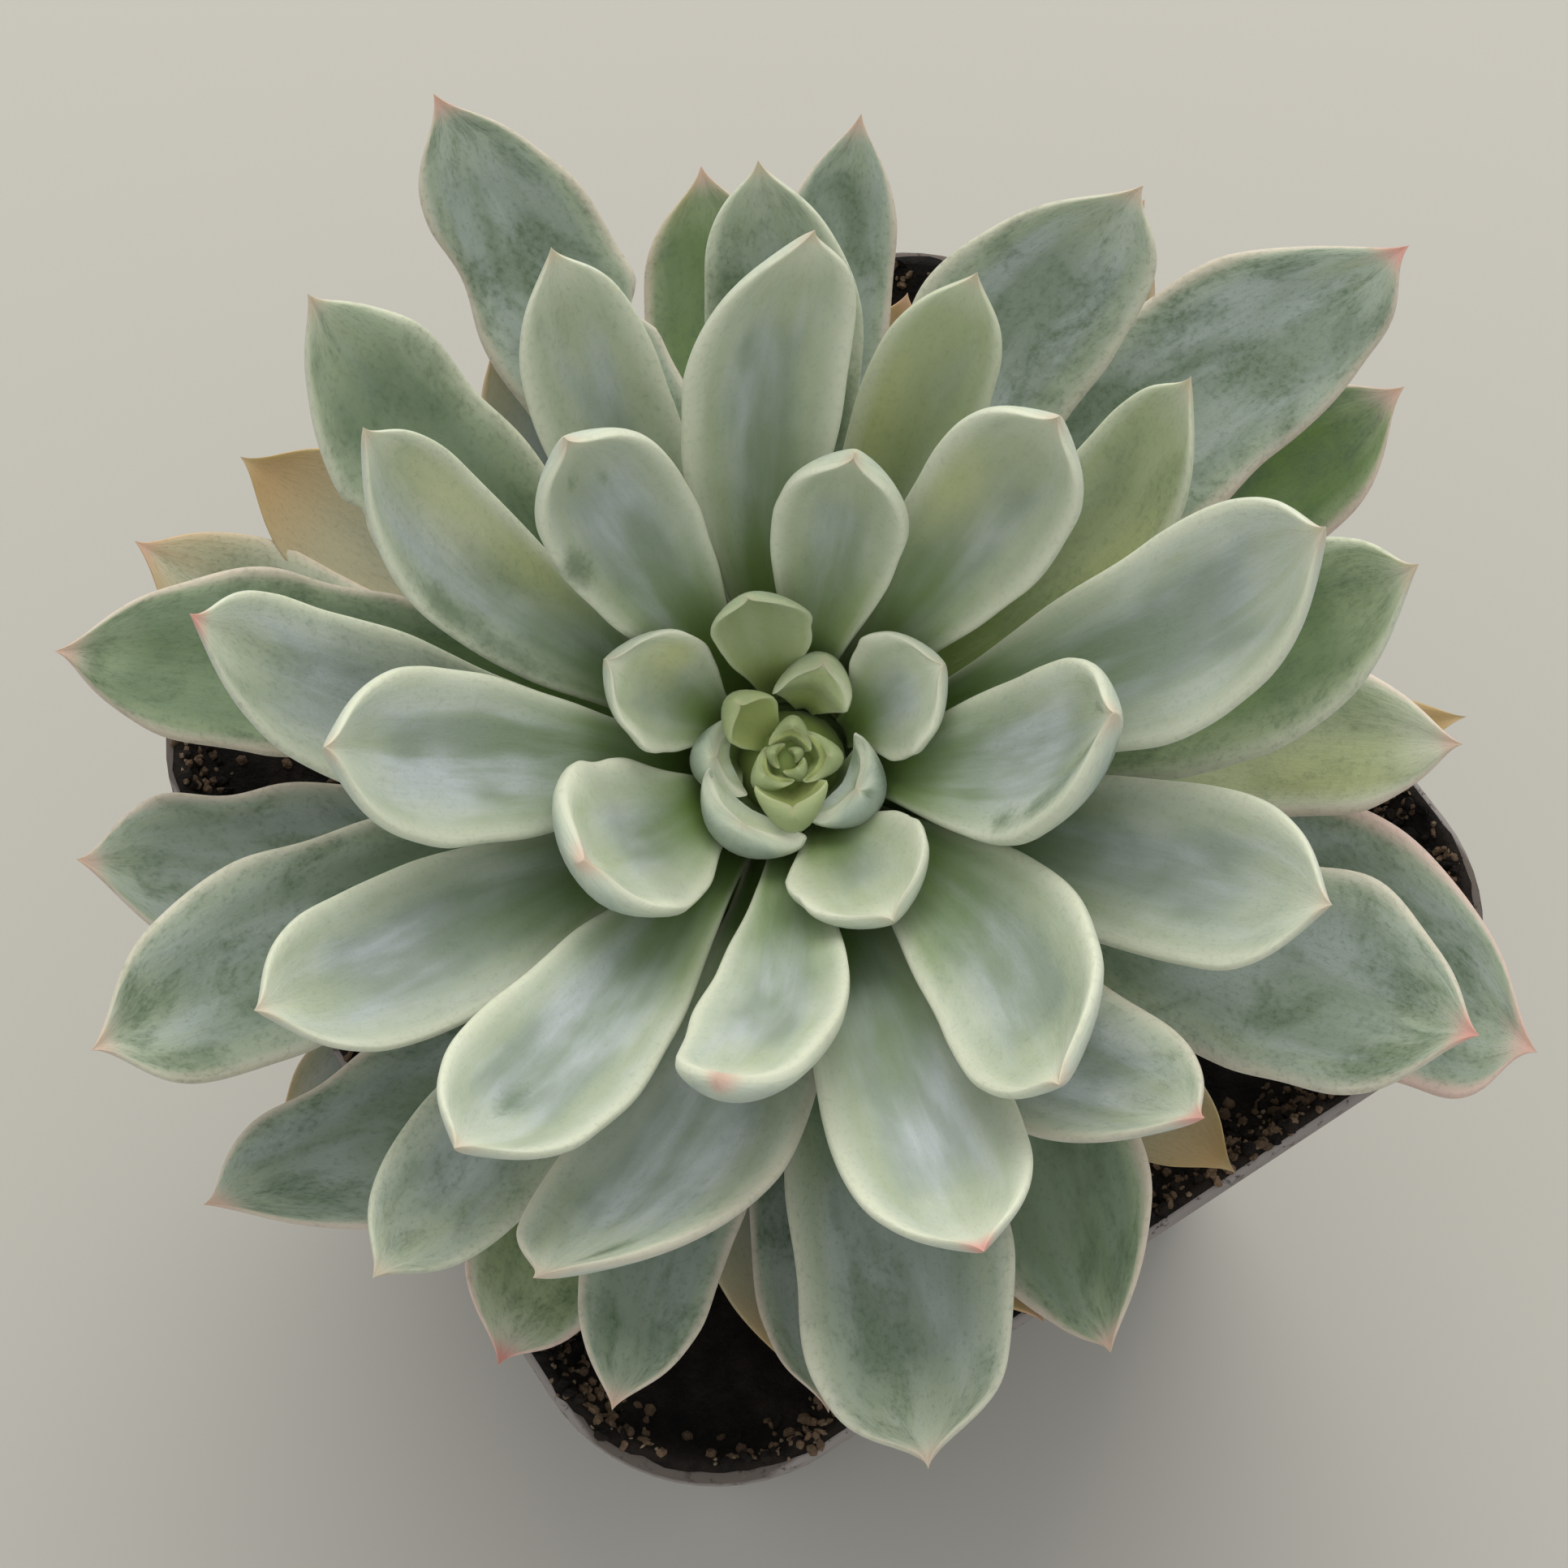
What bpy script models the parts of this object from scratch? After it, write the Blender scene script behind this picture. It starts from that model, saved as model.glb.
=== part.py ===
"""A potted succulent: a rosette of thick, spoon-shaped leaves on a short leaning stem,
growing out of the soil of a small square nursery pot with rounded corners.

Metres, +Z up. The origin is at the middle of the pot's underside and the pot's sides
follow X and Y. Sizes in the constants are millimetres, and MM turns them into metres.
"""
import math

import bmesh
import bpy
from mathutils import Vector

MM = 0.001
GAP = 0.3                      # clearance left between neighbouring pieces

# Pot: a thin-walled rounded square that widens to a rolled lip
POT_WIDTH = 90.0               # across the lip, flat to flat
POT_HEIGHT = 80.0
POT_BASE_WIDTH = 64.0
POT_CORNER = 16.0              # corner radius at the lip
POT_WALL = 1.2
POT_FLOOR = 2.0
LIP_HEIGHT = 2.6
LIP_STEP = 1.3                 # how far the lip stands out from the wall
LIP_ROUND = 0.5
CORNER_STEPS = 6
DRAIN_HOLE = 7.0               # diameter, one hole near each corner of the floor
DRAIN_PLACE = 0.62             # hole's place as a share of the floor's half width

# Soil
SOIL_BELOW_LIP = 3.5           # at the wall, where it is heaped highest
SOIL_DISH = 4.0                # how much lower the soil is halfway in

# Stem, measured down from the growing tip
TIP_PLACE = (-4.7, -2.6)       # where the growing tip is, in X and Y
TIP_ABOVE_LIP = 27.0
LEAN = 15.0                    # degrees off upright
LEAN_HEADING = -33.4           # degrees about Z; at 0 the stem leans to -Y
STEM_RADIUS = 5.5
DOME_DEPTH = 10.0              # the stem's rounded top
STEM_BURIED = 9.0              # length down in the soil

# Rosette: the leaves follow one spiral, each a fixed turn on from the last
LEAF_TURN = 137.9              # degrees from one leaf to the next older one
FIRST_TURN = 251.0
FIRST_LEAF = 9                 # the younger ones are still closed in the growing tip
LAST_LEAF = 64
LOWEST_LEAF_ABOVE_LIP = 3.8    # where the oldest leaf leaves the stem
FULL_LENGTH = 52.0             # a grown leaf
FULL_WIDTH = 14.0
FULL_THICKNESS = 3.9
LEAST_THICKNESS = 1.1          # what the narrowest leaf tends to
OLDEST_TILT = 8.0              # degrees above the rosette's own plane
YOUNGEST_TILT = 78.0

# A leaf from base to tip: place along it, share of its half width, share of its thickness
LEAF_RINGS = ((0.0, 0.25, 0.56), (0.10, 0.31, 0.76), (0.26, 0.52, 0.95), (0.44, 0.82, 1.0),
              (0.60, 0.98, 0.95), (0.73, 0.99, 0.83), (0.84, 0.84, 0.66), (0.92, 0.54, 0.46),
              (0.97, 0.22, 0.27))
# Across it: place across, height as a share of the thickness. A flat-channelled face
# above with thick margins, a round back below.
LEAF_SECTION = ((1.0, 0.0), (0.66, 0.29), (0.0, 0.20), (-0.66, 0.29), (-1.0, 0.0),
                (-0.60, -0.52), (0.0, -0.72), (0.60, -0.52))

# How each leaf differs from the rule: turn (degrees), length (52nds of a grown leaf's),
# width (14ths of a grown leaf's), lift (degrees), and how far its tip bends to the left,
# seen from the stem (52nds of a grown leaf's length).
LEAF_HABIT = {
    9: (18, 1, 1, 9, -1), 10: (-2, -2, 1, 6, 0), 11: (-1, -2, 1, 9, 0),
    12: (-4, 4, 0, 2, 1), 13: (-4, -5, 0, 9, 0), 14: (1, -1, 0, 4, 2),
    15: (-3, 0, -1, 1, 0), 16: (2, -3, 0, 1, 0), 17: (1, 3, -1, 0, 0),
    18: (0, -3, 0, -1, 0), 19: (0, 0, 1, -1, 4), 20: (0, 1, -1, 0, 0),
    21: (4, 1, -2, 1, -6), 22: (3, -1, -1, 0, 0), 23: (2, 0, 0, -3, 0),
    24: (-3, -2, 1, 1, -7), 25: (0, -2, -1, 0, -7), 26: (0, 2, -1, 0, -2),
    27: (-3, 1, 1, 0, 5), 28: (3, -5, -3, 0, -6), 29: (-2, -1, 0, 1, 1),
    30: (1, -9, -4, 0, -1), 31: (5, -1, -1, 0, -1), 32: (-3, -5, 0, 0, 0),
    33: (-1, -8, -3, 0, -3), 34: (3, -6, 2, 0, -13), 35: (-6, -10, -3, 0, 7),
    36: (3, -5, -1, 0, -7), 37: (-8, -8, 0, 4, 8), 38: (-2, -7, -2, 1, 3),
    39: (4, -1, -2, -2, 0), 40: (1, -3, 1, 0, 6), 41: (-1, -3, 0, -3, -6),
    42: (1, 2, 3, -3, -3), 43: (6, -3, 2, -4, -8), 44: (1, 4, 2, 0, 5),
    45: (0, 3, 4, 0, 0), 46: (1, 4, 0, -6, 3), 47: (3, -2, -3, 1, 0),
    48: (15, 8, 3, -10, -6), 49: (-2, 2, 1, -4, 6), 50: (2, -4, 1, -1, -9),
    51: (3, -3, -3, -6, -3), 52: (8, 0, 2, -1, -12), 53: (7, -3, 0, 0, -5),
    54: (-13, -14, -2, -6, 0), 55: (-2, -5, -3, 2, 0), 56: (5, -1, 0, -6, 0),
    57: (5, 0, 3, -2, -9), 58: (20, 6, 4, -4, -11), 59: (-9, -5, -1, -6, 0),
    60: (-4, -4, -2, 3, 3), 61: (10, 4, 0, -6, 0), 62: (6, 0, 0, -3, -7),
    63: (-4, -8, -2, 6, 0), 64: (0, -14, -3, -6, 0),
}

# The growing tip: its closed leaves, youngest first, as reach from the stem's line,
# length, width and tilt
BUD_LEAVES = ((0.2, 2.6, 1.6, 84), (0.9, 3.0, 2.0, 80), (0.9, 3.3, 2.3, 78),
              (1.0, 3.7, 2.9, 74), (1.1, 4.1, 3.3, 72), (1.3, 4.4, 3.7, 70),
              (1.6, 7.6, 4.4, 62), (1.8, 6.2, 5.4, 60))
BUD_CORE_RADIUS = 2.6
BUD_CORE_DEPTH = 1.6           # how deep it goes below the top of the growing tip

COLOURS = {
    "dusty black plastic": ((0.035, 0.033, 0.032), 0.62),
    "potting soil": ((0.040, 0.026, 0.018), 0.95),
    "stem skin": ((0.30, 0.24, 0.15), 0.70),
    "young leaf": ((0.36, 0.46, 0.24), 0.42),
    "leaf": ((0.33, 0.42, 0.33), 0.45),
    "old leaf": ((0.22, 0.29, 0.20), 0.50),
}


def material(name):
    found = bpy.data.materials.get(name)
    if found:
        return found
    colour, roughness = COLOURS[name]
    made = bpy.data.materials.new(name)
    made.use_nodes = True
    shader = made.node_tree.nodes["Principled BSDF"]
    shader.inputs["Base Color"].default_value = (*colour, 1.0)
    shader.inputs["Roughness"].default_value = roughness
    shader.inputs["Metallic"].default_value = 0.0
    return made


def finish(bm, name, colour, home):
    """Turn a bmesh in millimetres into a smooth-shaded object in a collection."""
    bmesh.ops.scale(bm, vec=(MM, MM, MM), verts=bm.verts)
    bmesh.ops.recalc_face_normals(bm, faces=bm.faces)
    mesh = bpy.data.meshes.new(name)
    bm.to_mesh(mesh)
    bm.free()
    mesh.shade_smooth()
    mesh.set_sharp_from_angle(angle=math.radians(40))
    made = bpy.data.objects.new(name, mesh)
    home.objects.link(made)
    if colour:
        mesh.materials.append(material(colour))
    return made


def as_cutter(made):
    made.hide_render = True
    made.display_type = "WIRE"
    return made


def boolean(target, other, operation):
    cut = target.modifiers.new(other.name, "BOOLEAN")
    cut.operation = operation
    cut.solver = "EXACT"
    cut.object = other


def rounded_square(half, corner, z):
    """Points round a square with rounded corners, anticlockwise from above."""
    points = []
    for quarter in range(4):
        middle = math.radians(45 + 90 * quarter)
        cx = (half - corner) * math.copysign(1, math.cos(middle))
        cy = (half - corner) * math.copysign(1, math.sin(middle))
        for step in range(CORNER_STEPS + 1):
            angle = math.radians(90 * quarter + 90 * step / CORNER_STEPS)
            points.append((cx + corner * math.cos(angle), cy + corner * math.sin(angle), z))
    return points


def loft(sections):
    """A closed body through sections with the same number of points, its ends filled."""
    bm = bmesh.new()
    rings = [[bm.verts.new(point) for point in section] for section in sections]
    count = len(rings[0])
    for lower, upper in zip(rings, rings[1:]):
        for i in range(count):
            k = (i + 1) % count
            bm.faces.new((lower[i], lower[k], upper[k], upper[i]))
    bm.faces.new(rings[0][::-1])
    bm.faces.new(rings[-1])
    return bm


def wall_half(z):
    """Half the pot's outer width at a height on its tapering wall."""
    top = POT_WIDTH / 2 - LIP_STEP
    return POT_BASE_WIDTH / 2 + (top - POT_BASE_WIDTH / 2) * z / POT_HEIGHT


def corner_at(half):
    """The corner radius goes down with the pot's width."""
    return POT_CORNER * 2 * half / POT_WIDTH


def pot_section(half, z):
    return rounded_square(half, corner_at(half), z)


def inner_half(z):
    """Half the pot's inner width at a height."""
    return wall_half(z) - POT_WALL


def make_pot(parts, cutters):
    lip = POT_WIDTH / 2
    under = POT_HEIGHT - LIP_HEIGHT
    mouth = inner_half(POT_HEIGHT)
    sections = [
        pot_section(wall_half(0) - 1.0, 0),
        pot_section(wall_half(1.0), 1.0),
        pot_section(wall_half(under - LIP_STEP), under - LIP_STEP),
        pot_section(lip - LIP_ROUND, under),
        pot_section(lip, under + LIP_ROUND),
        pot_section(lip, POT_HEIGHT - LIP_ROUND),
        pot_section(lip - LIP_ROUND, POT_HEIGHT),
        pot_section(mouth + LIP_ROUND, POT_HEIGHT),
        pot_section(mouth, POT_HEIGHT - LIP_ROUND),
        pot_section(inner_half(POT_FLOOR), POT_FLOOR),
    ]
    pot = finish(loft(sections), "pot", "dusty black plastic", parts)

    bm = bmesh.new()
    place = DRAIN_PLACE * POT_BASE_WIDTH / 2
    for x in (-place, place):
        for y in (-place, place):
            hole = bmesh.ops.create_cone(bm, cap_ends=True, segments=16, depth=4 * POT_FLOOR,
                                         radius1=DRAIN_HOLE / 2, radius2=DRAIN_HOLE / 2)
            bmesh.ops.translate(bm, vec=(x, y, 0), verts=hole["verts"])
    boolean(pot, as_cutter(finish(bm, "drain_holes", None, cutters)), "DIFFERENCE")
    return pot


def make_soil(parts, cutters, rosette):
    top = POT_HEIGHT - SOIL_BELOW_LIP
    low = POT_FLOOR + GAP
    edge = inner_half(top) - GAP
    sections = [
        pot_section(inner_half(low) - GAP, low),
        pot_section(edge, top),
        pot_section(edge * 0.94, top + 0.6),
        pot_section(edge * 0.80, top - 0.7 * SOIL_DISH),
        pot_section(edge * 0.52, top - SOIL_DISH),
        pot_section(edge * 0.25, top - 0.8 * SOIL_DISH),
    ]
    soil = finish(loft(sections), "soil", "potting soil", parts)
    bm = bmesh.new()
    radius = STEM_RADIUS + GAP
    depth = stem_length() + GAP
    bmesh.ops.create_cone(bm, cap_ends=True, segments=20, depth=depth, radius1=radius,
                          radius2=radius)
    bmesh.ops.translate(bm, vec=(0, 0, -depth / 2), verts=bm.verts)
    socket = as_cutter(finish(bm, "stem_socket", None, cutters))
    socket.parent = rosette
    boolean(soil, socket, "DIFFERENCE")
    return soil


def stem_length():
    """From the growing tip to the stem's buried end, along the stem."""
    down = TIP_ABOVE_LIP + SOIL_BELOW_LIP + SOIL_DISH
    return down / math.cos(math.radians(LEAN)) + STEM_BURIED


def leafy_length():
    """The length of stem that carries leaves, along the stem."""
    return (TIP_ABOVE_LIP - LOWEST_LEAF_ABOVE_LIP) / math.cos(math.radians(LEAN))


def dome_radius(depth):
    """The stem's radius at a depth below the growing tip."""
    share = min(1.0, depth / DOME_DEPTH)
    return STEM_RADIUS * math.sqrt(share * (2 - share))


def make_stem(parts, rosette):
    """A turned profile, run down its outer side from the flat under the growing tip."""
    start = BUD_CORE_DEPTH + GAP
    profile = [(0.0, -start)]
    for step in range(6):
        depth = start + (DOME_DEPTH - start) * step / 5
        profile.append((dome_radius(depth), -depth))
    end = stem_length()
    profile += [(STEM_RADIUS, -end + 1.5), (STEM_RADIUS - 1.5, -end), (0.0, -end)]
    mesh = bpy.data.meshes.new("stem")
    mesh.from_pydata([(x * MM, 0, z * MM) for x, z in profile],
                     [(i, i + 1) for i in range(len(profile) - 1)], [])
    mesh.materials.append(material("stem skin"))
    stem = bpy.data.objects.new("stem", mesh)
    parts.objects.link(stem)
    turn = stem.modifiers.new("turned", "SCREW")
    turn.steps = turn.render_steps = 20
    turn.use_merge_vertices = True
    turn.merge_threshold = 0.00001
    turn.use_smooth_shade = True
    stem.parent = rosette
    return stem


def sag_at(u, length, bow):
    """How far a bowed leaf hangs below its straight line, a share u of the way along."""
    return bow * 6.75 * length * u * u * (1 - u)


def leaf_mesh(length, width, thick, bow, cup, bend):
    """A leaf along +X from its base, its upper face to +Z: a ball's rings drawn out
    into the leaf's sections. bow curls it up, cup hollows its face, and bend moves the
    tip to +Y while the broad part stays on the leaf's line."""
    bm = bmesh.new()
    rings = len(LEAF_RINGS)
    across = len(LEAF_SECTION)
    made = bmesh.ops.create_uvsphere(bm, u_segments=across, v_segments=rings + 1, radius=1)

    def spine(u):
        slope = -bow * 6.75 * (2 * u - 3 * u * u)
        along = Vector((1, 0, slope)).normalized()
        point = Vector((length * u, bend * u ** 3, -sag_at(u, length, bow)))
        return point, Vector((-along.z, 0, along.x))

    for vert in made["verts"]:
        ring = round(math.acos(max(-1, min(1, vert.co.z))) / math.pi * (rings + 1)) - 1
        place = round(math.atan2(vert.co.y, vert.co.x) / (2 * math.pi) * across) % across
        if ring < 0:
            vert.co = spine(0)[0]
            continue
        if ring >= rings:
            vert.co = spine(1)[0]
            continue
        u, wide, deep = LEAF_RINGS[ring]
        v, height = LEAF_SECTION[place]
        middle, up = spine(u)
        half = wide * width / 2
        lift = height * deep * thick + cup * half * v * v
        vert.co = middle + Vector((0, v * half, 0)) + up * lift
    return bm


def leaf_age(number):
    return min(1.0, number / LAST_LEAF)


def leaf_shape(number):
    """Length, width, thickness, bow, cup and bend of a leaf, from its place in the
    spiral and its own habit."""
    _, longer, wider, _, bend = LEAF_HABIT[number]
    length = FULL_LENGTH * (1 / (1 + math.exp((18 - number) / 4.5)) + longer / 52)
    width = FULL_WIDTH * (1 / (1 + math.exp((12 - number) / 3.5)) + wider / 14)
    young = math.exp(-(number - FIRST_LEAF) / 12)
    bow = 0.05 + 0.07 * young
    cup = 0.05 + 0.4 * young
    thick = LEAST_THICKNESS + (FULL_THICKNESS - LEAST_THICKNESS) * width / FULL_WIDTH
    return length, width, thick, bow, cup, FULL_LENGTH * bend / 52


def leaf_tilt(number):
    rise = (YOUNGEST_TILT - OLDEST_TILT) * (1 - leaf_age(number)) ** 1.2
    return OLDEST_TILT + rise + LEAF_HABIT[number][3]


def over_lip(x, y, z):
    """Height over the lip of a point on the rosette, and how far it is from the pot's
    middle, square-wise, both in the pot's upright frame."""
    lean, heading = math.radians(LEAN), math.radians(LEAN_HEADING)
    y, z = y * math.cos(lean) - z * math.sin(lean), y * math.sin(lean) + z * math.cos(lean)
    x, y = (x * math.cos(heading) - y * math.sin(heading) + TIP_PLACE[0],
            x * math.sin(heading) + y * math.cos(heading) + TIP_PLACE[1])
    return z + TIP_ABOVE_LIP, max(abs(x), abs(y))


def lift_over_lip(tilt, turn, reach, depth, length, width, thick, bow):
    """The tilt of a leaf, raised as far as its back needs to pass over the pot's lip."""
    angle = math.radians(turn)
    lip = POT_WIDTH / 2
    for extra in range(90):
        rise = math.radians(tilt + extra)
        lowest = GAP
        for step in range(1, 21):
            u = step / 20
            deep = sag_at(u, length, bow) + 0.72 * thick * min(1.0, 3 * (1 - u))
            out = reach + length * u * math.cos(rise) + deep * math.sin(rise)
            up = length * u * math.sin(rise) - deep * math.cos(rise) - depth
            height, away = over_lip(out * math.cos(angle), out * math.sin(angle), up)
            if lip - width / 2 < away < lip + GAP:
                lowest = min(lowest, height)
        if lowest >= GAP:
            return tilt + extra
    return tilt


def place_leaf(leaf, rosette, turn, tilt, reach, depth):
    """Stand a leaf on the rosette's stem: reach is out from the stem's line."""
    angle = math.radians(turn)
    leaf.parent = rosette
    leaf.location = (reach * math.cos(angle) * MM, reach * math.sin(angle) * MM, -depth * MM)
    leaf.rotation_euler = (0, -math.radians(tilt), angle)


def make_leaf(number, parts, rosette):
    length, width, thick, bow, cup, bend = leaf_shape(number)
    colour = "young leaf" if number < 18 else "leaf" if number < 41 else "old leaf"
    bm = leaf_mesh(length, width, thick, bow, cup, bend)
    leaf = finish(bm, f"leaf_{number:02d}", colour, parts)
    tilt = leaf_tilt(number)
    depth = leafy_length() * leaf_age(number) ** 1.25
    stand_off = GAP + 0.22 * thick * math.sin(math.radians(tilt))
    turn = FIRST_TURN + LEAF_TURN * number + LEAF_HABIT[number][0]
    reach = dome_radius(depth) + stand_off
    tilt = lift_over_lip(tilt, turn, reach, depth, length, width, thick, bow)
    place_leaf(leaf, rosette, turn, tilt, reach, depth)
    return leaf


def make_growing_tip(parts, cutters, rosette):
    """The closed young leaves round the top of the stem, joined into one body."""
    bm = bmesh.new()
    bmesh.ops.create_uvsphere(bm, u_segments=12, v_segments=8, radius=BUD_CORE_RADIUS)
    for vert in bm.verts:
        vert.co.z = max(vert.co.z * 0.8 - 0.6, -BUD_CORE_DEPTH)
    core = finish(bm, "growing_tip", "young leaf", parts)
    core.parent = rosette
    for order, (reach, length, width, tilt) in enumerate(BUD_LEAVES, start=1):
        bm = leaf_mesh(length, width, 0.5 * width + 0.2, 0.16, 0.3, 0)
        leaf = as_cutter(finish(bm, f"bud_leaf_{order}", None, cutters))
        turn = FIRST_TURN + LEAF_TURN * order
        place_leaf(leaf, rosette, turn, tilt, reach, 0.9)
        boolean(core, leaf, "UNION")
    return core


def main():
    for old in list(bpy.data.objects):
        bpy.data.objects.remove(old, do_unlink=True)
    parts = bpy.data.collections.new("potted_succulent")
    cutters = bpy.data.collections.new("cutters")
    for home in (parts, cutters):
        bpy.context.scene.collection.children.link(home)

    rosette = bpy.data.objects.new("rosette", None)
    parts.objects.link(rosette)
    rosette.location = (TIP_PLACE[0] * MM, TIP_PLACE[1] * MM, (POT_HEIGHT + TIP_ABOVE_LIP) * MM)
    rosette.rotation_euler = (math.radians(LEAN), 0, math.radians(LEAN_HEADING))

    make_pot(parts, cutters)
    make_soil(parts, cutters, rosette)
    make_stem(parts, rosette)
    make_growing_tip(parts, cutters, rosette)
    for number in range(FIRST_LEAF, LAST_LEAF + 1):
        make_leaf(number, parts, rosette)


main()
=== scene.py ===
"""The looks of a potted succulent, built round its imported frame.

Every leaf is made again from the skeleton of its own CAD solid: a fine surface with
rolled margins, a channelled face and a pointed tip. The closed leaves of the growing tip,
the soil with its grit, the stem and the dusty plastic pot get the same treatment.
"""
import math

import bmesh
import bpy
import numpy as np
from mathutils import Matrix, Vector, noise


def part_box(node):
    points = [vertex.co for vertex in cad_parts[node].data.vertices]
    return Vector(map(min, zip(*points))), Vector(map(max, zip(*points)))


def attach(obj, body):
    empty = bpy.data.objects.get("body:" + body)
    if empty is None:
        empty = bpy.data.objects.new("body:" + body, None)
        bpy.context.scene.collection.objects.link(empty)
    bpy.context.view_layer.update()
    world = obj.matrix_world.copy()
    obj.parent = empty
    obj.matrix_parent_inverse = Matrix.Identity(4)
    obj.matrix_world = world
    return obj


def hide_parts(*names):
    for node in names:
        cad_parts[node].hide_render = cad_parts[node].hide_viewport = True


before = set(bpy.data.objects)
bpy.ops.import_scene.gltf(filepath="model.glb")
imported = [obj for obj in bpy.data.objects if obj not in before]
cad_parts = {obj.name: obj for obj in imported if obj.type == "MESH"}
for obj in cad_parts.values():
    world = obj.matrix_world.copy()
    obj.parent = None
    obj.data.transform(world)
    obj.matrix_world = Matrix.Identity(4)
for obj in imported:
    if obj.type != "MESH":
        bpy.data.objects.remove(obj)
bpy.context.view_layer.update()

MM = 0.001

# Rosette
LEAF_TURN = 137.9                # degrees from one leaf to the next older one
TIP_OVER_STEM = 1.9 * MM         # the growing tip stands this far over the stem's end
MODEL_LEAF = 25                  # the leaf whose outline the made-up ones borrow
HEART_LEAN = math.radians(-167)  # the way the heart leans, counted from the oldest leaf
HEART_SHIFT = 0.7 * MM
HEART_DROP = 0.5 * MM
CORE_RADIUS = 4.6 * MM           # the green mound that the closed leaves stand on
CORE_DEPTH = 3.7 * MM
SHED_REACH, SHED_DEPTH = 5.9, 25.0   # where the oldest leaves start, in millimetres

# Leaves
CAD_RINGS, CAD_SIDES = 9, 8      # how a leaf's solid is divided
FACE_HEIGHT = 0.20               # a leaf's face and back, from its middle, in thicknesses
BACK_DEPTH = 0.72
LEAF_RINGS = 72                  # places along a leaf
LEAF_SIDES = 40                  # points round it
TIP_CROWDING = 1.35              # how much closer the rings stand towards the tip

# Stem
STEM_RADIUS = 5.4 * MM
STEM_DOME = 10 * MM              # length over which its top end rounds off
STEM_LUMP = 0.25 * MM
STEM_ABOVE_FOOT = 2.2 * MM

# Pot
POT_WALL = 1.2 * MM
POT_CORNER = 0.178               # corner radius as a share of the pot's width there
POT_TAPER = (64 * MM, 87.4 * MM) # outer width of the wall at the foot and at the mouth
POT_FLOOR = 2.0 * MM
LIP_HEIGHT = 2.6 * MM
LIP_WIDTH = 1.15 * MM
CORNER_STEPS = 14
HOLE_PLACE = 19.84 * MM          # drain holes, from the middle both ways
HOLE_RADIUS = 3.5 * MM

# Soil
SOIL_RINGS = 64
SOIL_STEPS = 26                  # steps round each corner
WALL_OVERLAP = 0.15 * MM         # how far the soil is pressed into the wall's surface
LIP_SHOWN = 0.55 * MM            # outer part of the lip that stays clean
SOIL_HOLLOW = (0.0, 0.25, 0.52, 0.80, 0.92, 0.97, 1.0)     # from the stem to the wall
SOIL_RELIEF = (-3.3, -3.2, -4.0, -2.8, 0.2, 1.6, 1.9)      # millimetres there

# Light and camera
HEADING = math.radians(-33.35)   # the side that the viewer stands on
ELEVATION = math.radians(67.76)
CAMERA_PLACE = Vector((-62.4, -89.6, 355.4)) * MM
CAMERA_LENS = 79.84              # millimetres, on a 36 mm wide sensor


# ---- shader expressions

class Value:
    """A socket of a material's tree. Arithmetic on it adds Math nodes."""

    def __init__(self, finish, socket):
        self.finish = finish
        self.socket = socket

    def math(self, operation, *values):
        return self.finish.node("ShaderNodeMath", {"operation": operation},
                                dict(enumerate(values)))

    def __add__(self, other):
        return self.math("ADD", self, other)

    def __radd__(self, other):
        return self.math("ADD", other, self)

    def __sub__(self, other):
        return self.math("SUBTRACT", self, other)

    def __rsub__(self, other):
        return self.math("SUBTRACT", other, self)

    def __mul__(self, other):
        return self.math("MULTIPLY", self, other)

    def __rmul__(self, other):
        return self.math("MULTIPLY", other, self)

    def __abs__(self):
        return self.math("ABSOLUTE", self)

    def least(self, other):
        return self.math("MINIMUM", self, other)

    def most(self, other):
        return self.math("MAXIMUM", self, other)

    def rise(self, low, high):
        """0 below low, 1 above high and a soft step between."""
        return self.finish.node("ShaderNodeMapRange", {"interpolation_type": "SMOOTHSTEP"},
                                {"Value": self, "From Min": low, "From Max": high})


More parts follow.
